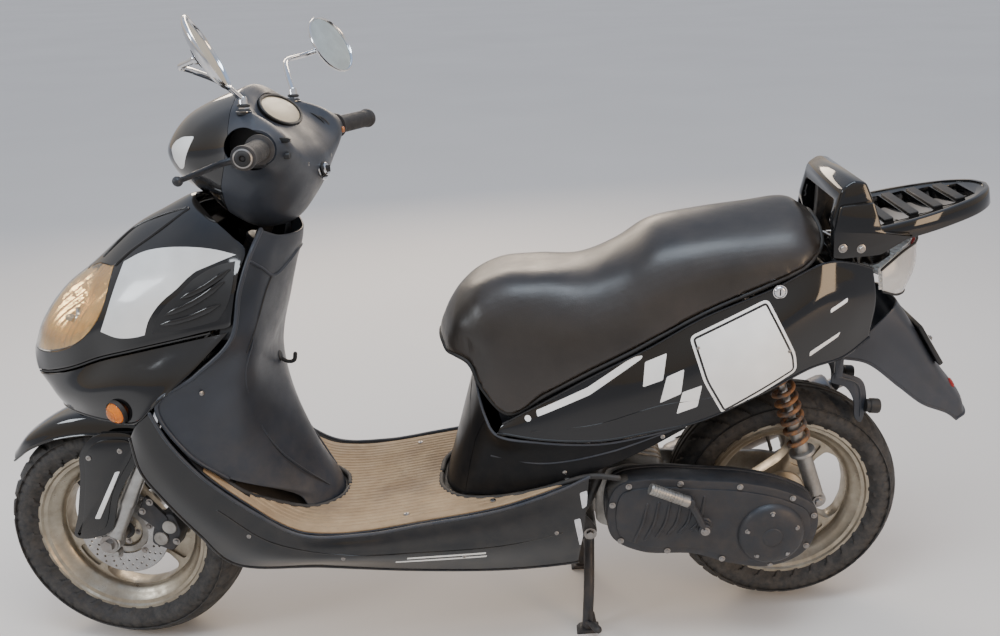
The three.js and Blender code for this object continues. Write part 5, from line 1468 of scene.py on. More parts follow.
SHIELD_CREASE = [(378, -116, 891), (374, -128, 830), (356, -132, 760), (346, -140, 700), (322, -142, 630),
                 (318, -122, 560), (330, -104, 492), (352, -92, 440), (384, -74, 392), (424, -44, 336)]
# a dark line along the fold beside the crease: painted shade in the fold
SHIELD_FOLD_SHADE_LINE = [(383, -100, 803), (373, -115, 780), (359, -133, 739), (344, -144, 700), (332, -148, 674)]
SHIELD_COLLAR = [(365, -158, 847), (375, -130, 826), (385, -93, 800), (402, -50, 811), (414, -21, 825),
                 (417, 0, 828)]
HOOK = [(346, 0, 604), (364, 0, 592), (376, 0, 594), (380, 0, 608)]


def shield_gap_shade_flange(edge):
    """The strip that reaches forward from the shield's edge, under the cowl's. It blocks light through the
    gap, and its dark plastic is painted shade there.
    """
    rows = [[(x - 2 - 24 * t, y + 5 + 8 * t, z - 4) for t in steps(3)] for x, y, z in spaced(edge, steps(24))]
    return sheet(np.array(rows), 2, np.array([200.0, 0, 700]))


def leg_shield():
    skin, _ = shell_of(LEG_SHIELD, 120, 150, (0, 0, 600))
    column = rod(on_axis(850), on_axis(960), 40, 0.2)
    edge = [[x - 1, y, z] for x, y, z in (row[-1] for row in LEG_SHIELD[:8])]
    parts = [("matte", carved(skin, under_floor(-14), column))]
    parts.append(("matte", both_sides(bead(edge, 4.2, 12))))
    parts.append(("matte", both_sides(bead(SHIELD_CREASE, 1.8, 8))))
    # dark bead along the fold: painted shade in the crease
    parts.append(("dark", both_sides(bead(SHIELD_FOLD_SHADE_LINE, 1.8, 8, 50))))
    parts.append(("matte", both_sides(bead(SHIELD_COLLAR, 3, 10, 60))))
    # a dark sheet in the gap under the cowl: partly a real flange, partly painted shade
    parts.append(("dark", both_sides(shield_gap_shade_flange(edge[1:4]))))
    parts.append(("dark", tube(smooth(HOOK, 20), 4, 12, flat=0.7)))
    parts.append(("dark", rod((340, 0, 604), (352, 0, 606), 11, 1.5)))
    for side in (-1, 1):
        parts.append(("steel", screw_head((357, side * 158, 838), (0.85, side * 0.5, 0), 5)))
        parts.append(("steel", screw_head((252, side * 182, 612), (0.7, side * 0.7, 0), 5)))
    piece("vis_leg_shield", "chassis", parts, ("leg_shield",))


def foot_holes():
    plan = [[(x, y) for x, y in half] + [(x, -y) for x, y in half[::-1]] for half in (TUNNEL_FOOT, POD_FOOT)]
    return [prism(outline, 180, 620, 0.2, plane="xy") for outline in plan]


def floor_height(x):
    """The height of the mat's top at this x."""
    curve = smooth([(x, 0, z) for x, z in FLOOR], 220)
    return float(np.interp(x, curve[:, 0], curve[:, 2]))


def floor_board():
    """The board, the tray under it, its edge beads at the tunnel and pod, and three cross ribs."""
    curve = smooth([(x, 0, z) for x, z in FLOOR], 220)[:, [0, 2]]
    top = MAT_THICKNESS + 0.5

    def layer(down, thickness, half_width, bevel):
        upper = [(x, z - top - down) for x, z in curve]
        lower = [(x, z - top - down - thickness) for x, z in curve[::-1]]
        return prism(upper + lower, -half_width, half_width, bevel)

    wheel_room = block((150, 270), (-146, 146), (380, 560), 0.2)
    parts = [("matte", carved(layer(0, 6, 184, 1.2), *foot_holes()))]
    parts.append(("dark", carved(layer(6, 3, 172, 0.8), wheel_room)))
    for plan in (TUNNEL_FOOT, POD_FOOT):
        path = [(x, y, floor_height(x) - 4) for x, y in plan]
        parts.append(("dark", both_sides(tube(smooth(path, 60), 5.5, 12))))
    for x in (560, 700, 840):
        z = floor_height(x) - top - 12
        parts.append(("matte", block((x - 5, x + 5), (-176, 176), (z - 2, z + 8), 1.5)))
    piece("vis_floor_board", "chassis", parts, ("floor_board",))


def floor_mat():
    """A moulded rubber mat with ribs along it and plain margins."""
    curve = smooth([(x, 0, z) for x, z in FLOOR[1:]], 150)
    x, height = curve[:, :1], curve[:, 2:]
    y = np.linspace(-MAT_HALF_WIDTH, MAT_HALF_WIDTH, 725)
    rib = 0.75 * np.clip(np.cos(y * 2 * np.pi / RIB_SPACING) * 2.2, -1, 1) - 0.75
    rib[np.abs(y) > MAT_HALF_WIDTH - 11] = 0
    rim_drop = -1.6 * np.clip((np.abs(y) - MAT_HALF_WIDTH + 4) / 4, 0, 1) ** 2
    upper = np.stack([x + 0 * y, y + 0 * x, height + rib + rim_drop], -1)
    under = np.stack([x + 0 * y, y + 0 * x, height - MAT_THICKNESS + 0 * y], -1)
    wheel_room = block((200, 300), (-164, 164), (380, 500), 0.2)
    parts = [("mat", carved(shell(upper, under), *foot_holes(), wheel_room))]
    for x, spot in ((590, 150), (760, 158), (905, 168)):
        z = float(np.interp(x, curve[:, 0], curve[:, 2]))
        parts += [("steel", screw_head((x, side * spot, z), (0, 0, 1), 6)) for side in (-1, 1)]
    piece("vis_floor_mat", "chassis", parts, ("floor_mat",))


STRIP = [(926, 380), (940, 384), (942, 352), (930, 348)]
STRIP_LOW = [(914, 326), (926, 328), (934, 262), (924, 258)]
SKIRT_SCREWS = [(300, 322), (470, 262), (700, 252), (880, 300)]
SKIRT_CREASE = [(250, 380), (340, 306), (480, 270), (620, 268), (780, 276), (890, 298)]
SCRIPT_BARS = [
    [(566, 238), (742, 246), (744, 251), (567, 243)],
    [(590, 250), (742, 256), (743, 261), (591, 255)],
]


def side_skirts():
    skin, target = shell_of(SKIRT, 60, 150, (550, 0, 350), symmetric=False)
    lower_edge = [(x, y + 1, z - 1) for x, y, z in (row[0] for row in SKIRT)]
    left = [("gloss", skin), ("matte", bead(lower_edge, 3.2, 12, 140))]
    left.append(("gloss", bead([row[-1] for row in SKIRT], 2.4, 10, 140)))
    for strip in (STRIP, STRIP_LOW):
        left.append(("strip", patch(target, fillet(strip, 3, 3), -1, 0.5, 4, 6)))
    for point in surface_line(target, SKIRT_SCREWS, -1):
        left.append(("steel", screw_head(point, (0, -1, 0), 4.4)))
    left.append(("gloss", bead(surface_line(target, SKIRT_CREASE, -1), 1.6, 8)))
    left += [("white", patch(target, bar, -1, 0.4, 4, 6)) for bar in SCRIPT_BARS]
    for name, parts in (("left", left), ("right", other_side(left))):
        piece(f"vis_side_skirt_{name}", "chassis", parts, (f"side_skirt_{name}",))


POD_STRIP = [(752, 508), (738, 560), (728, 566), (716, 480), (700, 410), (692, 352), (704, 344), (716, 400),
             (730, 455)]
POD_CREASE = [(760, 430), (860, 425), (980, 452), (1100, 496)]
POD_SCREWS = [(900, 408), (1085, 484)]


def surface_line(target, points, side, lift=0.0):
    """The (x, z) points dropped on the panel from that side, then lifted off its skin."""
    hits = [hit_on(target, x, z, side) for x, z in points]
    return [hit + normal * lift for hit, normal in hits]


def pod_cover():
    skin, target = shell_of(POD, 200, 70, (1000, 0, 450))
    parts = [("satin", carved(skin, under_floor(-3)))]
    for side in (-1, 1):
        parts.append(("satin", patch(target, POD_STRIP, side, 0.9, 6, 5)))
        parts.append(("matte", bead(surface_line(target, POD_CREASE, side), 1.8, 8)))
        for point in surface_line(target, POD_SCREWS, side):
            parts.append(("steel", screw_head(point, (0, side, 0), 4.6)))
    parts.append(("matte", bead(mirrored(POD[2]), 2.6, 10, 160)))
    piece("vis_pod_cover", "chassis", parts, ("pod_cover",))


BOARD = [(1134, 676), (1278, 741), (1334, 632), (1340, 596), (1197, 524), (1160, 592)]
BOARD_LAYERS = [("white", 0, 1.2), ("black_ink", 5, 1.5), ("white", 9, 1.8)]
CHECKS = [
    [(1053, 631), (1093, 647), (1085, 598), (1048, 585)],
    [(1092, 604), (1124, 618), (1118, 571), (1079, 554)],
    [(1121, 574), (1157, 586), (1149, 544), (1110, 531)],
]
LONG_STRIPE = [(852, 527), (950, 570), (1047, 637), (1049, 643), (1030, 640), (946, 584), (850, 539)]
SHORT_STRIPE = [(1364, 620), (1420, 652), (1424, 662), (1364, 630)]
SMALL_STRIPE = [(1398, 705), (1432, 722), (1432, 730), (1398, 713)]
COVER_SCREWS = [(1150, 656), (1320, 640)]
COVER_CREASE = [(840, 498), (960, 512), (1080, 548), (1180, 560)]
SEAT_LOCK = (1300, 0, 752)


def seat_lock():
    """The lock under the seat: its barrel, key slot and collar."""
    barrel = [(0, 157.5), (2, 158), (7.5, 158), (9, 157.4), (10.4, 156), (11, 154), (11, 146), (0, 146)]
    collar = [(11.2, 152), (13.5, 153.5), (13, 155), (11.2, 155)]
    return [("chrome", lathe(barrel, SEAT_LOCK, (0, -1, 0), 48)),
            ("dark", block((1298.8, 1301.2), (-158.6, -157), (746, 758), 0.4)),
            ("chrome", lathe(collar, SEAT_LOCK, (0, -1, 0), 48, closed=True))]


def side_covers():
    skin, target = shell_of(SIDE_COVER, 70, 150, (1150, 0, 620), symmetric=False)
    left = [("gloss", skin)]
    left += layers(target, fillet(BOARD, 12, 5), -1, BOARD_LAYERS)
    for cell in CHECKS + [LONG_STRIPE, SHORT_STRIPE, SMALL_STRIPE]:
        left.append(("white", patch(target, fillet(cell, 2.5, 2), -1, 0.45, 5, 5)))
    dot = [polar((834, 523), 6, 18 * k) for k in range(20)]
    left.append(("white", patch(target, dot, -1, 0.5, 4, 8)))
    for point in surface_line(target, COVER_SCREWS, -1, 1.6):
        left.append(("steel", screw_head(point, (0, -1, 0), 3.4)))
    left.append(("gloss", bead([row[-1] for row in SIDE_COVER], 2.2, 10, 140)))
    left.append(("gloss", bead([row[0] for row in SIDE_COVER], 2.0, 10, 140)))
    left.append(("gloss", bead(surface_line(target, COVER_CREASE, -1, 0.3), 1.2, 8)))
    for name, parts in (("left", left + seat_lock()), ("right", other_side(left))):
        piece(f"vis_side_cover_{name}", "chassis", parts, (f"side_cover_{name}",))


# ---------- tail ----------
TAIL_LAMP = [
    [(1602, 0, 806), (1588, -40, 803), (1548, -82, 797), (1505, -98, 768)],
    [(1602, 0, 755), (1590, -42, 753), (1556, -84, 750), (1508, -101, 745)],
    [(1584, 0, 702), (1574, -40, 704), (1546, -76, 710), (1512, -96, 724)],
]
RACK_SLOPE = math.atan2(46, 215)
RACK_OUTLINE = [(1450, -118), (1560, -114), (1630, -98), (1690, -72), (1725, -38), (1736, -4)]
RACK_SLOTS = [(1482, 88), (1530, 86), (1578, 80), (1626, 66), (1672, 44)]
RACK_PIVOT = np.array([1460.0, 0, 846])


def tail_lamp():
    grid = surface([mirrored(row) for row in TAIL_LAMP], steps(110), steps(40))
    inside = np.array([1440.0, 0, 750])
    inward = normals_of(grid, inside)
    lens_shell = sheet(grid, 2.2, inside)
    flute = 0.8 * np.cos(grid[..., 2:3] * (2 * np.pi / 8))
    back = sheet(grid + inward * (10 + flute), 2.0, inside)
    parts = [("frosted", lens_shell), ("white", back)]
    middle = carved(sheet(grid + inward * 4, 4, inside), block((1400, 1700), (-40, 40), (690, 820), 1),
                    operation="INTERSECT")
    parts.append(("red", middle))
    edges = [mirrored(TAIL_LAMP[0]), mirrored(TAIL_LAMP[2])]
    parts += [("dark", tube(smooth(edge, 90), 2.4, 10)) for edge in edges]
    piece("vis_tail_lamp", "chassis", parts, ("tail_lamp",))


def tail_cover():
    skin, _ = shell_of(TAIL_COVER, 90, 40, (1460, 0, 0))
    parts = [("gloss", skin), ("gloss", bead(mirrored(TAIL_COVER[3]), 2, 10))]
    for side in (-1, 1):
        parts.append(("steel", screw_head((1450, side * 60, 799), (0, 0, 1), 5)))
    piece("vis_tail_cover", "chassis", parts, ("tail_cover",))


def rear_fender():
    skin, _ = shell_of(REAR_FENDER, 100, 110, (1300, 0, 350))
    parts = [("matte", skin)]
    for edge in ([row[-1] for row in REAR_FENDER], [mirrored(row)[0] for row in REAR_FENDER]):
        parts.append(("matte", bead(edge, 2.4, 10)))
    parts.append(("matte", bead(mirrored(REAR_FENDER[5]), 2.4, 10, 50)))
    facing = (0.82, 0, 0.55)
    reflector = [(0, 7), (12, 6.6), (17, 5), (19, 2), (19, -3), (0, -3)]
    parts.append(("red", lathe(reflector, (1640, 0, 584), facing, 48)))
    plate_frame = fillet([(1602, 634), (1608, 640), (1660, 558), (1653, 552)], 2)
    parts.append(("dark", prism(plate_frame, -66, 66, 1.5)))
    small = [(0, 5), (8, 4.4), (11, 2.4), (11, -3), (0, -3)]
    for side in (-1, 1):
        parts.append(("red", lathe(small, (1694, side * 34, 500), (0.75, side * 0.2, 0.55), 32)))
        parts.append(("steel", hex_bolt((1634, side * 48, 606), facing, 4.4, 4)))
    piece("vis_rear_fender", "chassis", parts, ("rear_fender",))


def hugger():
    """The inner mudguard plate between the tail and the rear tyre, with its rubber stop."""
    outline = [(1438, 552), (1470, 546), (1494, 534), (1504, 510), (1506, 470), (1498, 442), (1486, 452),
               (1480, 492), (1462, 520), (1432, 534)]
    plate = prism(closed_smooth(outline, 80), -80, -74, 1.6)
    rib = bead([(1448, -80, 544), (1484, -80, 528), (1494, -80, 496), (1496, -80, 456)], 2.2, 8)
    stub = [(0, 0), (9, 0), (13, 1), (13, 8), (15, 10), (15, 26), (13.5, 29), (0, 29)]
    parts = [("matte", both_sides(plate)), ("matte", both_sides(rib))]
    parts.append(("dark", both_sides(lathe(stub, (1502, -84, 482), (1, 0, -0.1), 36))))
    parts.append(("matte", block((1440, 1452), (-78, 78), (592, 598), 2)))
    parts.append(("matte", both_sides(block((1438, 1454), (-82, -72), (540, 604), 2))))
    piece("vis_hugger", "chassis", parts)


def tilted(part):
    """The part turned about the rack's pivot to the rack's slope."""
    c, s = math.cos(RACK_SLOPE), math.sin(RACK_SLOPE)
    turn = np.array([[c, 0, -s], [0, 1, 0], [s, 0, c]])
    return (part[0] - RACK_PIVOT) @ turn.T + RACK_PIVOT, part[1]


def rack_tray():
    """The slotted tray, level, with a shallow channel inside its rim."""
    half = smooth([(x, y, 0) for x, y in RACK_OUTLINE], 40)[:, :2]
    outline = list(map(tuple, half)) + [(x, -y) for x, y in half[::-1]]
    slots = [block((x, x + 24), (-w, w), (800, 870), 4) for x, w in RACK_SLOTS]
    channel = prism(inset(counter_clockwise(outline), 9), 844.5, 870, 0.5, plane="xy")
    return bevelled(carved(prism(outline, 814, 848, 3.5, plane="xy"), joined(*slots), channel), 1.4)


def rear_rack():
    hoop_side = [(1405, 842), (1398, 868), (1412, 930), (1432, 944), (1456, 940), (1474, 902), (1480, 842)]
    hoop_room = prism([(1380, 800), (1380, 905), (1600, 905), (1600, 800)], -96, 96, 6)
    hoop = bevelled(carved(prism(fillet(hoop_side, 8), -118, 118, 5), hoop_room), 1.5)
    pads = [block((x + 27, x + 45), (-w + 8, w - 8), (844, 849.5), 2) for x, w in RACK_SLOTS[:4]]
    parts = [("gloss", tilted(rack_tray())), ("gloss", hoop)]
    parts += [("dark", tilted(pad)) for pad in pads]
    leg_side = [(1402, 800), (1400, 850), (1410, 900), (1470, 905), (1490, 850), (1550, 842), (1490, 806)]
    parts.append(("gloss", both_sides(prism(fillet(leg_side, 7), -128, -117, 3))))
    parts.append(("paint", both_sides(block((1418, 1452), (-72, -48), (806, 900), 3))))
    for x, z in ((1418, 822), (1452, 820)):
        parts.append(("steel", both_sides(hex_bolt((x, -128, z), (0, -1, 0), 5.5, 5))))
    parts.append(("red", tilted(block((1716, 1731), (-9, 9), (830, 842), 3))))
    piece("vis_rear_rack", "chassis", parts, ("rear_rack",))


# ---------- frame and stand ----------
def frame_tubes():
    parts = [("paint", rod(on_axis(646), on_axis(846), 26, 3, 48))]
    for height in (650, 838):
        parts.append(("paint", rod(on_axis(height), on_axis(height + 10), 28, 2.5, 48)))
    parts.append(("paint", tube(smooth(SPINE, 90), 20, 32)))
    rail = tube(smooth([(x, -y, z) for x, y, z in RAIL], 170), 13, 24)
    parts.append(("paint", both_sides(rail)))
    for p in ((560, 256), (905, 272)):
        parts.append(("paint", across(-108, 108, p, 11)))
    parts.append(("paint", across(-96, 96, (1412, 762), 9)))
    parts.append(("steel", across(-118, 118, ENGINE_PIVOT, 8)))
    parts.append(("steel", across(-66, 66, STAND_PIVOT, 8)))
    stand = fillet([(880, 262), (900, 240), (940, 190), (966, 196), (964, 222), (920, 282)], 8)
    engine = fillet([(922, 395), (955, 394), (985, 420), (975, 446), (940, 432)], 8)
    shock = fillet([(1264, 656), (1298, 656), (1306, 724), (1264, 706)], 7)
    parts.append(("paint", both_sides(prism(stand, -70, -62, 1.5))))
    parts.append(("paint", both_sides(prism(engine, -128, -116, 2))))
    parts.append(("paint", both_sides(prism(shock, -137, -131, 1.5))))
    parts.append(("steel", both_sides(across(-136, -88, (SHOCK_TOP[0], SHOCK_TOP[2]), 6))))
    for centre, y in ((ENGINE_PIVOT, -128), ((SHOCK_TOP[0], SHOCK_TOP[2]), -137), (STAND_PIVOT, -70)):
        parts.append(("steel", both_sides(hex_bolt((centre[0], y, centre[1]), (0, -1, 0), 9, 7))))
    piece("vis_frame", "chassis", parts, ("frame",))


def centre_stand():
    px, pz = STAND_PIVOT
    leg = smooth([(px, -42, pz), (px - 1, -46, pz - 30), (px - 6, -94, 96), (px - 12, -116, 10)], 70)
    parts = [("cast", both_sides(tube(leg, 11, 24)))]
    foot = fillet([(px - 36, 0), (px + 12, 0), (px + 12, 9), (px - 28, 9)], 3)
    parts.append(("cast", both_sides(prism(foot, -131, -101, 2))))
    gusset = fillet([(px - 13, 40), (px + 3, 40), (px + 8, 8), (px - 24, 8)], 3)
    parts.append(("cast", both_sides(prism(gusset, -113, -107, 1.5))))
    tread = tube([(px - 12, -120, 22), (px - 2, -142, 30), (px + 6, -158, 34)], [6, 6, 6.5], 16)
    parts.append(("cast", tread))
    parts.append(("grip", tube([(px - 1, -143, 30.3), (px + 7, -163, 35)], 8, 20)))
    parts.append(("cast", across(-60, 60, STAND_PIVOT, 15, 2)))
    parts.append(("cast", across(-72, 72, (px - 4, 136), 7)))
    piece("vis_centre_stand", "stand", parts, ("centre_stand",))


# ---------- engine ----------
def bolts_along(outline, count, y, side):
    """Bolts evenly spaced round a cover's edge."""
    ring = inset(counter_clockwise(outline), 9)
    picks = [ring[int(len(ring) * k / count)] for k in range(count)]
    return joined(*[hex_bolt((x, y, z), (0, side, 0), 4.2, 4) for x, z in picks])


def cvt_cover():
    outline = counter_clockwise(closed_smooth(CVT_OUTLINE, 180))
    hub = (1299, 266)
    boss = [(0, 17), (18, 17), (20, 15.5), (22, 15.5), (24, 16.4), (40, 15.6), (46, 14.4), (57, 11.6),
            (64, 5.5), (66, 0), (74, -2), (75, -8), (0, -8)]
    parts = [("cast", prism(outline, -188, -128.5, 7)), ("cast", prism(inset(outline, 17), -192, -180, 3.5))]
    parts.append(("cast", prism(inset(outline, -2), -140, -128.5, 1.5)))
    parts.append(("cast", lathe(boss, (hub[0], -192, hub[1]), (0, -1, 0), 80)))
    for k in range(5):
        x, z = polar(hub, 50, 72 * k + 20)
        parts.append(("steel", hex_bolt((x, -203.5, z), (0, -1, 0), 4, 4)))
    parts.append(("steel", bolts_along(outline, 11, -188.5, -1)))
    for k in range(6):
        x = 1030 + 22 * k
        rib = [(x, -191, 262 + 4 * k), (x + 16, -193, 300), (x + 26, -191, 344 + 2 * k)]
        parts.append(("cast", tube(smooth(rib, 16), 3.2, 12)))
    shaft = [(0, -4), (20, -4), (20, 3), (15, 6), (15, 12), (13, 13), (0, 13)]
    parts.append(("cast", lathe(shaft, (KICK_SHAFT[0], -188, KICK_SHAFT[1]), (0, -1, 0), 40)))
    intake = fillet([(985, 330), (1040, 350), (1062, 392), (1010, 392), (978, 372)], 8)
    parts.append(("dark", prism(intake, -184, -150, 5)))
    piece("vis_cvt_cover", "engine_unit", parts, ("cvt_cover",))


def engine_case():
    case = fillet([(962, 252), (1000, 236), (1100, 236), (1108, 300), (1100, 372), (1030, 388),
                   (962, 370)], 14)
    left = fillet([(1040, 244), (1180, 232), (1300, 214), (1372, 226), (1378, 270), (1340, 330), (1200, 352),
                   (1040, 366)], 16)
    right = fillet([(1060, 250), (1200, 240), (1360, 226), (1398, 250), (1400, 286), (1340, 300), (1200, 306),
                    (1060, 320)], 14)
    hanger = fillet([(925, 400), (955, 400), (1010, 350), (985, 330)], 8)
    lug = fillet([(1370, 240), (1420, 276), (1424, 300), (1398, 306), (1370, 290)], 7)
    parts = [("alloy", prism(case, -104, 92, 6)), ("alloy", prism(left, -128, -74, 5)),
             ("alloy", prism(right, 80, 92, 3))]
    rib = inset(counter_clockwise(case), -3)
    for k in range(7):
        parts.append(("alloy", prism(rib, -60 + 20 * k, -56 + 20 * k, 1.2)))
    foot_x, _, foot_z = SHOCK_FOOT
    for side in (-1, 1):
        parts.append(("alloy", across(*sorted((side * 84, side * 106)), ENGINE_PIVOT, 20, 2, 40)))
        parts.append(("alloy", prism(hanger, *sorted((side * 84, side * 92)), 1.5)))
        parts.append(("steel", across(*sorted((side * 88, side * 126)), (foot_x, foot_z), 6)))
        parts.append(("alloy", prism(lug, *sorted((side * 80, side * 91)), 2)))
        parts.append(("steel", hex_bolt((foot_x, side * 126, foot_z), (0, side, 0), 8, 7)))
    parts.append(("steel", across(-80, 98, REAR_CENTRE, 9)))
    parts.append(("steel", hex_bolt((REAR_CENTRE[0], 92, REAR_CENTRE[1]), (0, 1, 0), 14, 14)))
    parts.append(("steel", bolts_along(right, 8, 92, 1)))
    crank = [(0, 8), (44, 8), (52, 5), (56, 0), (56, -4), (0, -4)]
    parts.append(("alloy", lathe(crank, (1040, 92, 300), (0, 1, 0), 64)))
    drain_plug = hex_bolt((1060, -20, 234), (0, 0, -1), 9, 7)
    parts.append(("steel", drain_plug))
    piece("vis_engine_case", "engine_unit", parts, ("engine_case",))


def fan_grille():
    """The round opening for the fan: its ring, cap and eighteen curved bars."""
    fan = (1010, 308)
    profile = [(64, 0), (64, 10), (60, 14), (50, 14), (50, 2), (46, 0)]
    grille = [across(94, 104, fan, 16, 2, 40)]
    for k in range(18):
        a, b, c = polar(fan, 15, 20 * k), polar(fan, 33, 20 * k), polar(fan, 51, 20 * k + 12)
        bar = [(a[0], 99, a[1]), (b[0], 100, b[1]), (c[0], 99, c[1])]
        grille.append(tube(smooth(bar, 10), 1.6, 8))
    ring = lathe(profile, (fan[0], 92.5, fan[1]), (0, 1, 0), 80, closed=True)
    return joined(ring, *grille)


def cooling_shroud():
    outline = fillet([(815, 294), (959.5, 294), (959.5, 356), (850, 348), (815, 336)], 12)
    parts = [("matte", prism(outline, -84, 106, 6)), ("matte", fan_grille())]
    for x in (840, 880, 920):
        parts.append(("matte", tube([(x, -78, 322), (x, -86, 322), (x, -86, 346)], 2.4, 8)))
    for x, z in ((830, 306), (945, 306), (945, 344)):
        parts.append(("steel", hex_bolt((x, -84, z), (0, -1, 0), 4, 4)))
        parts.append(("steel", hex_bolt((x, 106, z), (0, 1, 0), 4, 4)))
    piece("vis_cooling_shroud", "engine_unit", parts, ("cooling_shroud",))


CAN_FROM, CAN_TO = np.array([1140.0, 180, 216]), np.array([1520.0, 180, 392])
CAN_LENGTH = float(np.linalg.norm(CAN_TO - CAN_FROM))
CAN_WAY = (CAN_TO - CAN_FROM) / CAN_LENGTH
GUARD_RADIUS = 50


def can_guard():
    """The slotted heat guard, a strip of cylinder round the can's outer side."""
    out = np.array([0, 1.0, 0])
    up = np.array([-CAN_WAY[2], 0, CAN_WAY[0]])
    rows = []
    for h in np.linspace(50, CAN_LENGTH - 60, 40):
        turns = [math.radians(turn) for turn in np.linspace(-62, 62, 25)]
        ways = [out * math.cos(t) + up * math.sin(t) for t in turns]
        rows.append([CAN_FROM + CAN_WAY * h + way * GUARD_RADIUS for way in ways])
    slots = []
    for h in np.linspace(90, CAN_LENGTH - 110, 9):
        x, _, z = CAN_FROM + CAN_WAY * h
        slots.append(across(200, 260, (x, z), 7, 0.5, 24))
    return carved(sheet(np.array(rows), 1.6, CAN_FROM + CAN_WAY * CAN_LENGTH / 2), joined(*slots))


def muffler():
    bend = [(832, 60, 278), (842, 92, 226), (936, 128, 196), (1080, 170, 202), (1160, 180, 226)]
    end = CAN_LENGTH
    can = [(0, 0), (16, 0), (20, 4), (40, 14), (45, 22), (46, 30), (46, 60), (46.6, 62), (46.6, 68), (46, 70),
           (46, end - 60), (46.6, end - 58), (46.6, end - 52), (46, end - 50), (46, end - 16), (42, end - 4),
           (36, end), (0, end)]
    tail = [(14, 0), (14, 56), (13, 58), (11.5, 56), (11.5, 0)]
    flange = [(0, -4), (24, -4), (25, -2), (25, 4), (24, 6), (0, 6)]
    bracket = fillet([(1180, 240), (1240, 244), (1250, 290), (1190, 280)], 6)
    parts = [("exhaust", tube(smooth(bend, 90), 14, 32)), ("exhaust", lathe(can, CAN_FROM, CAN_WAY, 72))]
    parts.append(("exhaust", lathe(tail, (1505, 180, 400), (55, 0, 24), 40, closed=True)))
    parts.append(("chrome", can_guard()))
    parts.append(("paint", prism(bracket, 92.5, 150, 2)))
    for h in (70, end - 80):
        head = CAN_FROM + CAN_WAY * h + [0, GUARD_RADIUS, 0]
        parts.append(("steel", hex_bolt(head, (0, 1, 0), 4.5, 4)))
    parts.append(("steel", lathe(flange, (833, 63, 272), (0.1, 0.6, -1), 32)))
    piece("vis_muffler", "engine_unit", parts, ("muffler",))


def kick_lever():
    x, z = KICK_SHAFT
    elbow = (x - 33, z + 70)
    arm = [(x, -206, z), (x - 16, -210, z + 36), (elbow[0], -214, elbow[1])]
    start, end = np.array([elbow[0], -218.0, elbow[1]]), np.array([x - 109.0, -222, z + 106])
    length = float(np.linalg.norm(end - start))
    pedal = [(0, 0), (8, 0), (11, 3), (11, 8)]
    for h in np.arange(14, length - 6, 6):
        pedal += [(11, h), (11, h + 3.4), (10.1, h + 4), (10.1, h + 5.4)]
    pedal += [(11, length - 4), (10, length), (0, length)]
    parts = [("cast", across(-212, -193, KICK_SHAFT, 13, 2))]
    parts.append(("cast", tube(smooth(arm, 24), 7, 20)))
    parts.append(("cast", across(-226, -205, elbow, 10, 1.5)))
    parts.append(("alloy", lathe(pedal, start, end - start, 40)))
    parts.append(("steel", hex_bolt((x, -212, z), (0, -1, 0), 6, 4)))
    piece("vis_kick_lever", "kick_starter", parts, ("kick_lever",))


# ---------- rear shock absorbers ----------
SHOCK_LENGTH = float(np.linalg.norm(SHOCK_FOOT - SHOCK_TOP))
SHOCK_WAY = (SHOCK_FOOT - SHOCK_TOP) / SHOCK_LENGTH
SPRING_FROM, SPRING_TO, SPRING_RADIUS, SPRING_WIRE, SPRING_TURNS = 96, 276, 21, 4.5, 7


def shock_body():
    """The left shock's upper half: the damper body and rod, the top eye and its rubber, three rings."""
    top = (SHOCK_TOP[0], SHOCK_TOP[2])
    body = [(0, 8), (15, 8), (15, 58), (20, 62), (25, 66), (26, 70), (26, 86), (24, 90), (9, 90), (9, 204),
            (0, 205)]
    parts = [("steel", lathe(body, SHOCK_TOP, SHOCK_WAY, 48)), ("paint", across(-125, -99, top, 15, 2, 40))]
    parts.append(("tyre", across(-126, -98, top, 10, 1, 32)))
    for h in (66, 74, 82):
        ring = [(25.6, h - 1), (27.4, h), (27.4, h + 3), (25.6, h + 4)]
        parts.append(("paint", lathe(ring, SHOCK_TOP, SHOCK_WAY, 48, closed=True)))
    return parts


def shock_foot():
    """The left shock's lower half: the sleeve with its spring seat, the bottom eye and its rubber."""
    foot = (SHOCK_FOOT[0], SHOCK_FOOT[2])
    end = SHOCK_LENGTH
    sleeve = [(10.5, 290), (10.5, 215), (14.5, 215), (14.5, 282), (25, 283), (26, 285), (26, 289), (24, 291),
              (16.5, 293), (16, 296), (16, end - 14), (14, end - 12), (0, end - 12)]
    return [("alloy", lathe(sleeve, SHOCK_TOP, SHOCK_WAY, 48)),
            ("alloy", across(-122, -102, foot, 17, 2, 40)),
            ("tyre", across(-123, -101, foot, 11, 1, 32))]


def shock_spring():
    """The left shock's spring: an open coil whose end turns lie closer together."""
    across_way = np.cross(SHOCK_WAY, [0, 1.0, 0])
    t = np.linspace(0, 1, SPRING_TURNS * 40)
    angle = 2 * np.pi * SPRING_TURNS * t
    lead = np.clip(t * SPRING_TURNS, 0, 1) * 0.5 + np.clip((t - 1) * SPRING_TURNS + 1, 0, 1) * 0.5
    reach = SPRING_FROM + SPRING_WIRE + (SPRING_TO - SPRING_FROM - 2 * SPRING_WIRE) * (0.12 * lead + 0.88 * t)
    path = SHOCK_TOP + SHOCK_WAY * reach[:, None] + np.cos(angle)[:, None] * np.array([0, SPRING_RADIUS, 0])
    return tube(path + np.sin(angle)[:, None] * across_way * SPRING_RADIUS, SPRING_WIRE, 16)


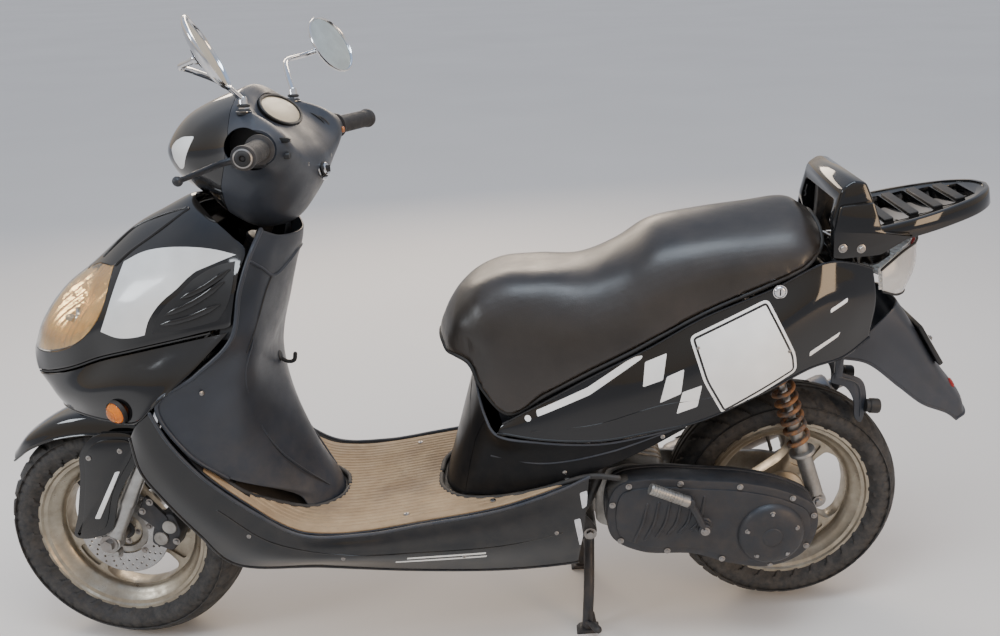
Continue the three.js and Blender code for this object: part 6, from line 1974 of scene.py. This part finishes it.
def shock(side):
    name = "left" if side < 0 else "right"
    body, foot, spring = shock_body(), shock_foot(), [("rust", shock_spring())]
    if side > 0:
        body, foot, spring = other_side(body), other_side(foot), other_side(spring)
    upper, lower = f"{name}_shock_upper", f"{name}_shock_lower"
    piece(f"vis_shock_body_{name}", upper, body, (f"shock_body_{name}",))
    piece(f"vis_shock_foot_{name}", lower, foot, (f"shock_foot_{name}",))
    coil = piece(f"vis_shock_spring_{name}", upper, spring, (f"shock_spring_{name}",))
    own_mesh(coil)


# ---------- seat ----------
SEAT_SWELL = 5.0
SEAT_HEM_DEPTH = 11.0


def seat():
    """The vinyl cushion: a slightly small form blown up by the cloth solver, then its seams."""
    rows = [mirrored(row) for row in SEAT]
    grid = surface(rows, steps(130), steps(120))
    inside = np.array([1040.0, 0, 500])
    inward = normals_of(grid, inside)
    start = sheet(grid + inward * SEAT_SWELL * 0.6, 20, inside, 3)
    voxel = 6.0
    formed = baked(start, ("REMESH", {"mode": "VOXEL", "voxel_size": voxel, "use_smooth_shade": True}))
    formed = inflated(formed)
    formed = baked(formed, ("SUBSURF", {"levels": 1, "render_levels": 1}))
    rim = grid + inward * SEAT_HEM_DEPTH
    hem = np.concatenate([rim[0, :-1], rim[:-1, -1], rim[-1, :0:-1], rim[:0:-1, 0]])
    parts = [("seat", formed), ("dark", tube(closed_path(hem, 420), 4.6, 12, closed=True))]
    cushion = piece("vis_seat_cushion", "seat", parts, ("seat_cushion",), angle=60)


def inflated(part):
    """The part after twenty frames of cloth under pressure, each point kept within the swell."""
    scale = 0.001
    mesh = mesh_of([(part[0] * scale, part[1])], "seat_work")
    work = bpy.data.objects.new("seat_work", mesh)
    scene = bpy.context.scene
    scene.collection.objects.link(work)
    cloth = work.modifiers.new("Cloth", "CLOTH")
    cloth.settings.quality = 4
    cloth.settings.mass = 0.3
    cloth.settings.use_pressure = True
    cloth.settings.uniform_pressure_force = 4.0
    cloth.settings.effector_weights.gravity = 0.0
    cloth.collision_settings.use_collision = False
    cloth.point_cache.frame_start = 1
    cloth.point_cache.frame_end = 20
    for number in range(1, 21):
        scene.frame_set(number)
    graph = bpy.context.evaluated_depsgraph_get()
    swollen = part_of(work.evaluated_get(graph).to_mesh())[0] / scale
    bpy.data.objects.remove(work)
    scene.frame_set(1)
    shift = swollen - part[0]
    length = np.maximum(np.linalg.norm(shift, axis=1, keepdims=True), 1e-6)
    return part[0] + shift * np.minimum(1, SEAT_SWELL / length), part[1]


def chassis_group():
    nose_cowl()
    headlight()
    front_apron()
    front_signals()
    leg_shield()
    floor_board()
    floor_mat()
    side_skirts()
    pod_cover()
    side_covers()
    tail_lamp()
    tail_cover()
    rear_fender()
    hugger()
    rear_rack()
    frame_tubes()
    centre_stand()
    cvt_cover()
    engine_case()
    cooling_shroud()
    muffler()
    kick_lever()
    shock(-1)
    shock(1)
    rear_wheel()
    seat()
    finish_cad(("seat_pan", "storage_tub"), "matte")


# ---------- studio ----------
CAMERA_AT = (0.10192, -1.83849, 1.34904)
CAMERA_YAW, CAMERA_PITCH, CAMERA_ROLL = math.radians(2.4867), math.radians(-21.423), math.radians(-1.384)
GROUND_SIZE = 60.0


def camera_at_photo():
    """The camera that gives the photo's view."""
    yaw, pitch, roll = CAMERA_YAW, CAMERA_PITCH, CAMERA_ROLL
    look = Vector((math.sin(yaw) * math.cos(pitch), math.cos(yaw) * math.cos(pitch), math.sin(pitch)))
    right = look.cross(Vector((0, 0, 1))).normalized()
    up = right.cross(look)
    right, up = right * math.cos(roll) + up * math.sin(roll), up * math.cos(roll) - right * math.sin(roll)
    data = bpy.data.cameras.new("camera")
    data.lens = 35.70
    data.shift_x = -0.0731
    data.shift_y = 0.0144
    camera = bpy.data.objects.new("camera", data)
    bpy.context.scene.collection.objects.link(camera)
    matrix = Matrix((right, up, -look)).transposed().to_4x4()
    matrix.translation = Vector(CAMERA_AT)
    camera.matrix_world = matrix
    bpy.context.scene.camera = camera


def soft_light(name, location, target, size, power, color):
    data = bpy.data.lights.new(name, "AREA")
    data.shape = "RECTANGLE"
    data.size, data.size_y = size
    data.energy = power
    data.color = color
    lamp = bpy.data.objects.new(name, data)
    bpy.context.scene.collection.objects.link(lamp)
    lamp.location = location
    lamp.rotation_euler = (Vector(target) - Vector(location)).to_track_quat("-Z", "Y").to_euler()


def sky():
    """The world's light: warm and dim below, grey at the horizon, blue above."""
    world = bpy.data.worlds.new("studio")
    world.use_nodes = True
    bpy.context.scene.world = world
    nodes, links = world.node_tree.nodes, world.node_tree.links
    where = nodes.new("ShaderNodeTexCoord")
    split = nodes.new("ShaderNodeSeparateXYZ")
    ramp = nodes.new("ShaderNodeValToRGB")
    links.new(where.outputs["Generated"], split.inputs[0])
    links.new(split.outputs["Z"], ramp.inputs[0])
    ramp.color_ramp.elements[0].color = (0.72, 0.6, 0.48, 1)
    ramp.color_ramp.elements[1].color = (0.55, 0.7, 0.98, 1)
    middle = ramp.color_ramp.elements.new(0.22)
    middle.color = (0.8, 0.77, 0.74, 1)
    links.new(ramp.outputs[0], nodes["Background"].inputs["Color"])
    nodes["Background"].inputs["Strength"].default_value = 0.95


def ground():
    s = Shader("studio_floor")
    tone = s.mix(s.ramp(s.noise(0.6, 3), 0.3, 0.7), (0.76, 0.7, 0.63), (0.8, 0.74, 0.67))
    s.set(Base_Color=tone, Roughness=0.75)
    mesh = bpy.data.meshes.new("studio_floor")
    corners = [(x * GROUND_SIZE, y * GROUND_SIZE, 0) for x, y in ((-1, -1), (1, -1), (1, 1), (-1, 1))]
    mesh.from_pydata(corners, [], [(0, 1, 2, 3)])
    mesh.materials.append(s.material)
    floor = bpy.data.objects.new("studio_floor", mesh)
    bpy.context.scene.collection.objects.link(floor)


def studio():
    sky()
    soft_light("sky", (0.2, -0.9, 3.4), (0, 0, 0.6), (2.2, 0.9), 60, (0.78, 0.89, 1.0))
    soft_light("front", (-4.0, -1.5, 2.4), (-0.4, 0, 0.6), (1.2, 1.0), 55, (0.88, 0.94, 1.0))
    soft_light("warm", (2.8, -2.6, 1.3), (0.2, 0, 0.6), (1.0, 1.6), 40, (1.0, 0.72, 0.46))
    soft_light("back", (-0.6, 3.0, 2.0), (0, 0, 0.7), (2.4, 0.8), 55, (1.0, 0.84, 0.66))
    ground()


steering_group()
chassis_group()
studio()
camera_at_photo()
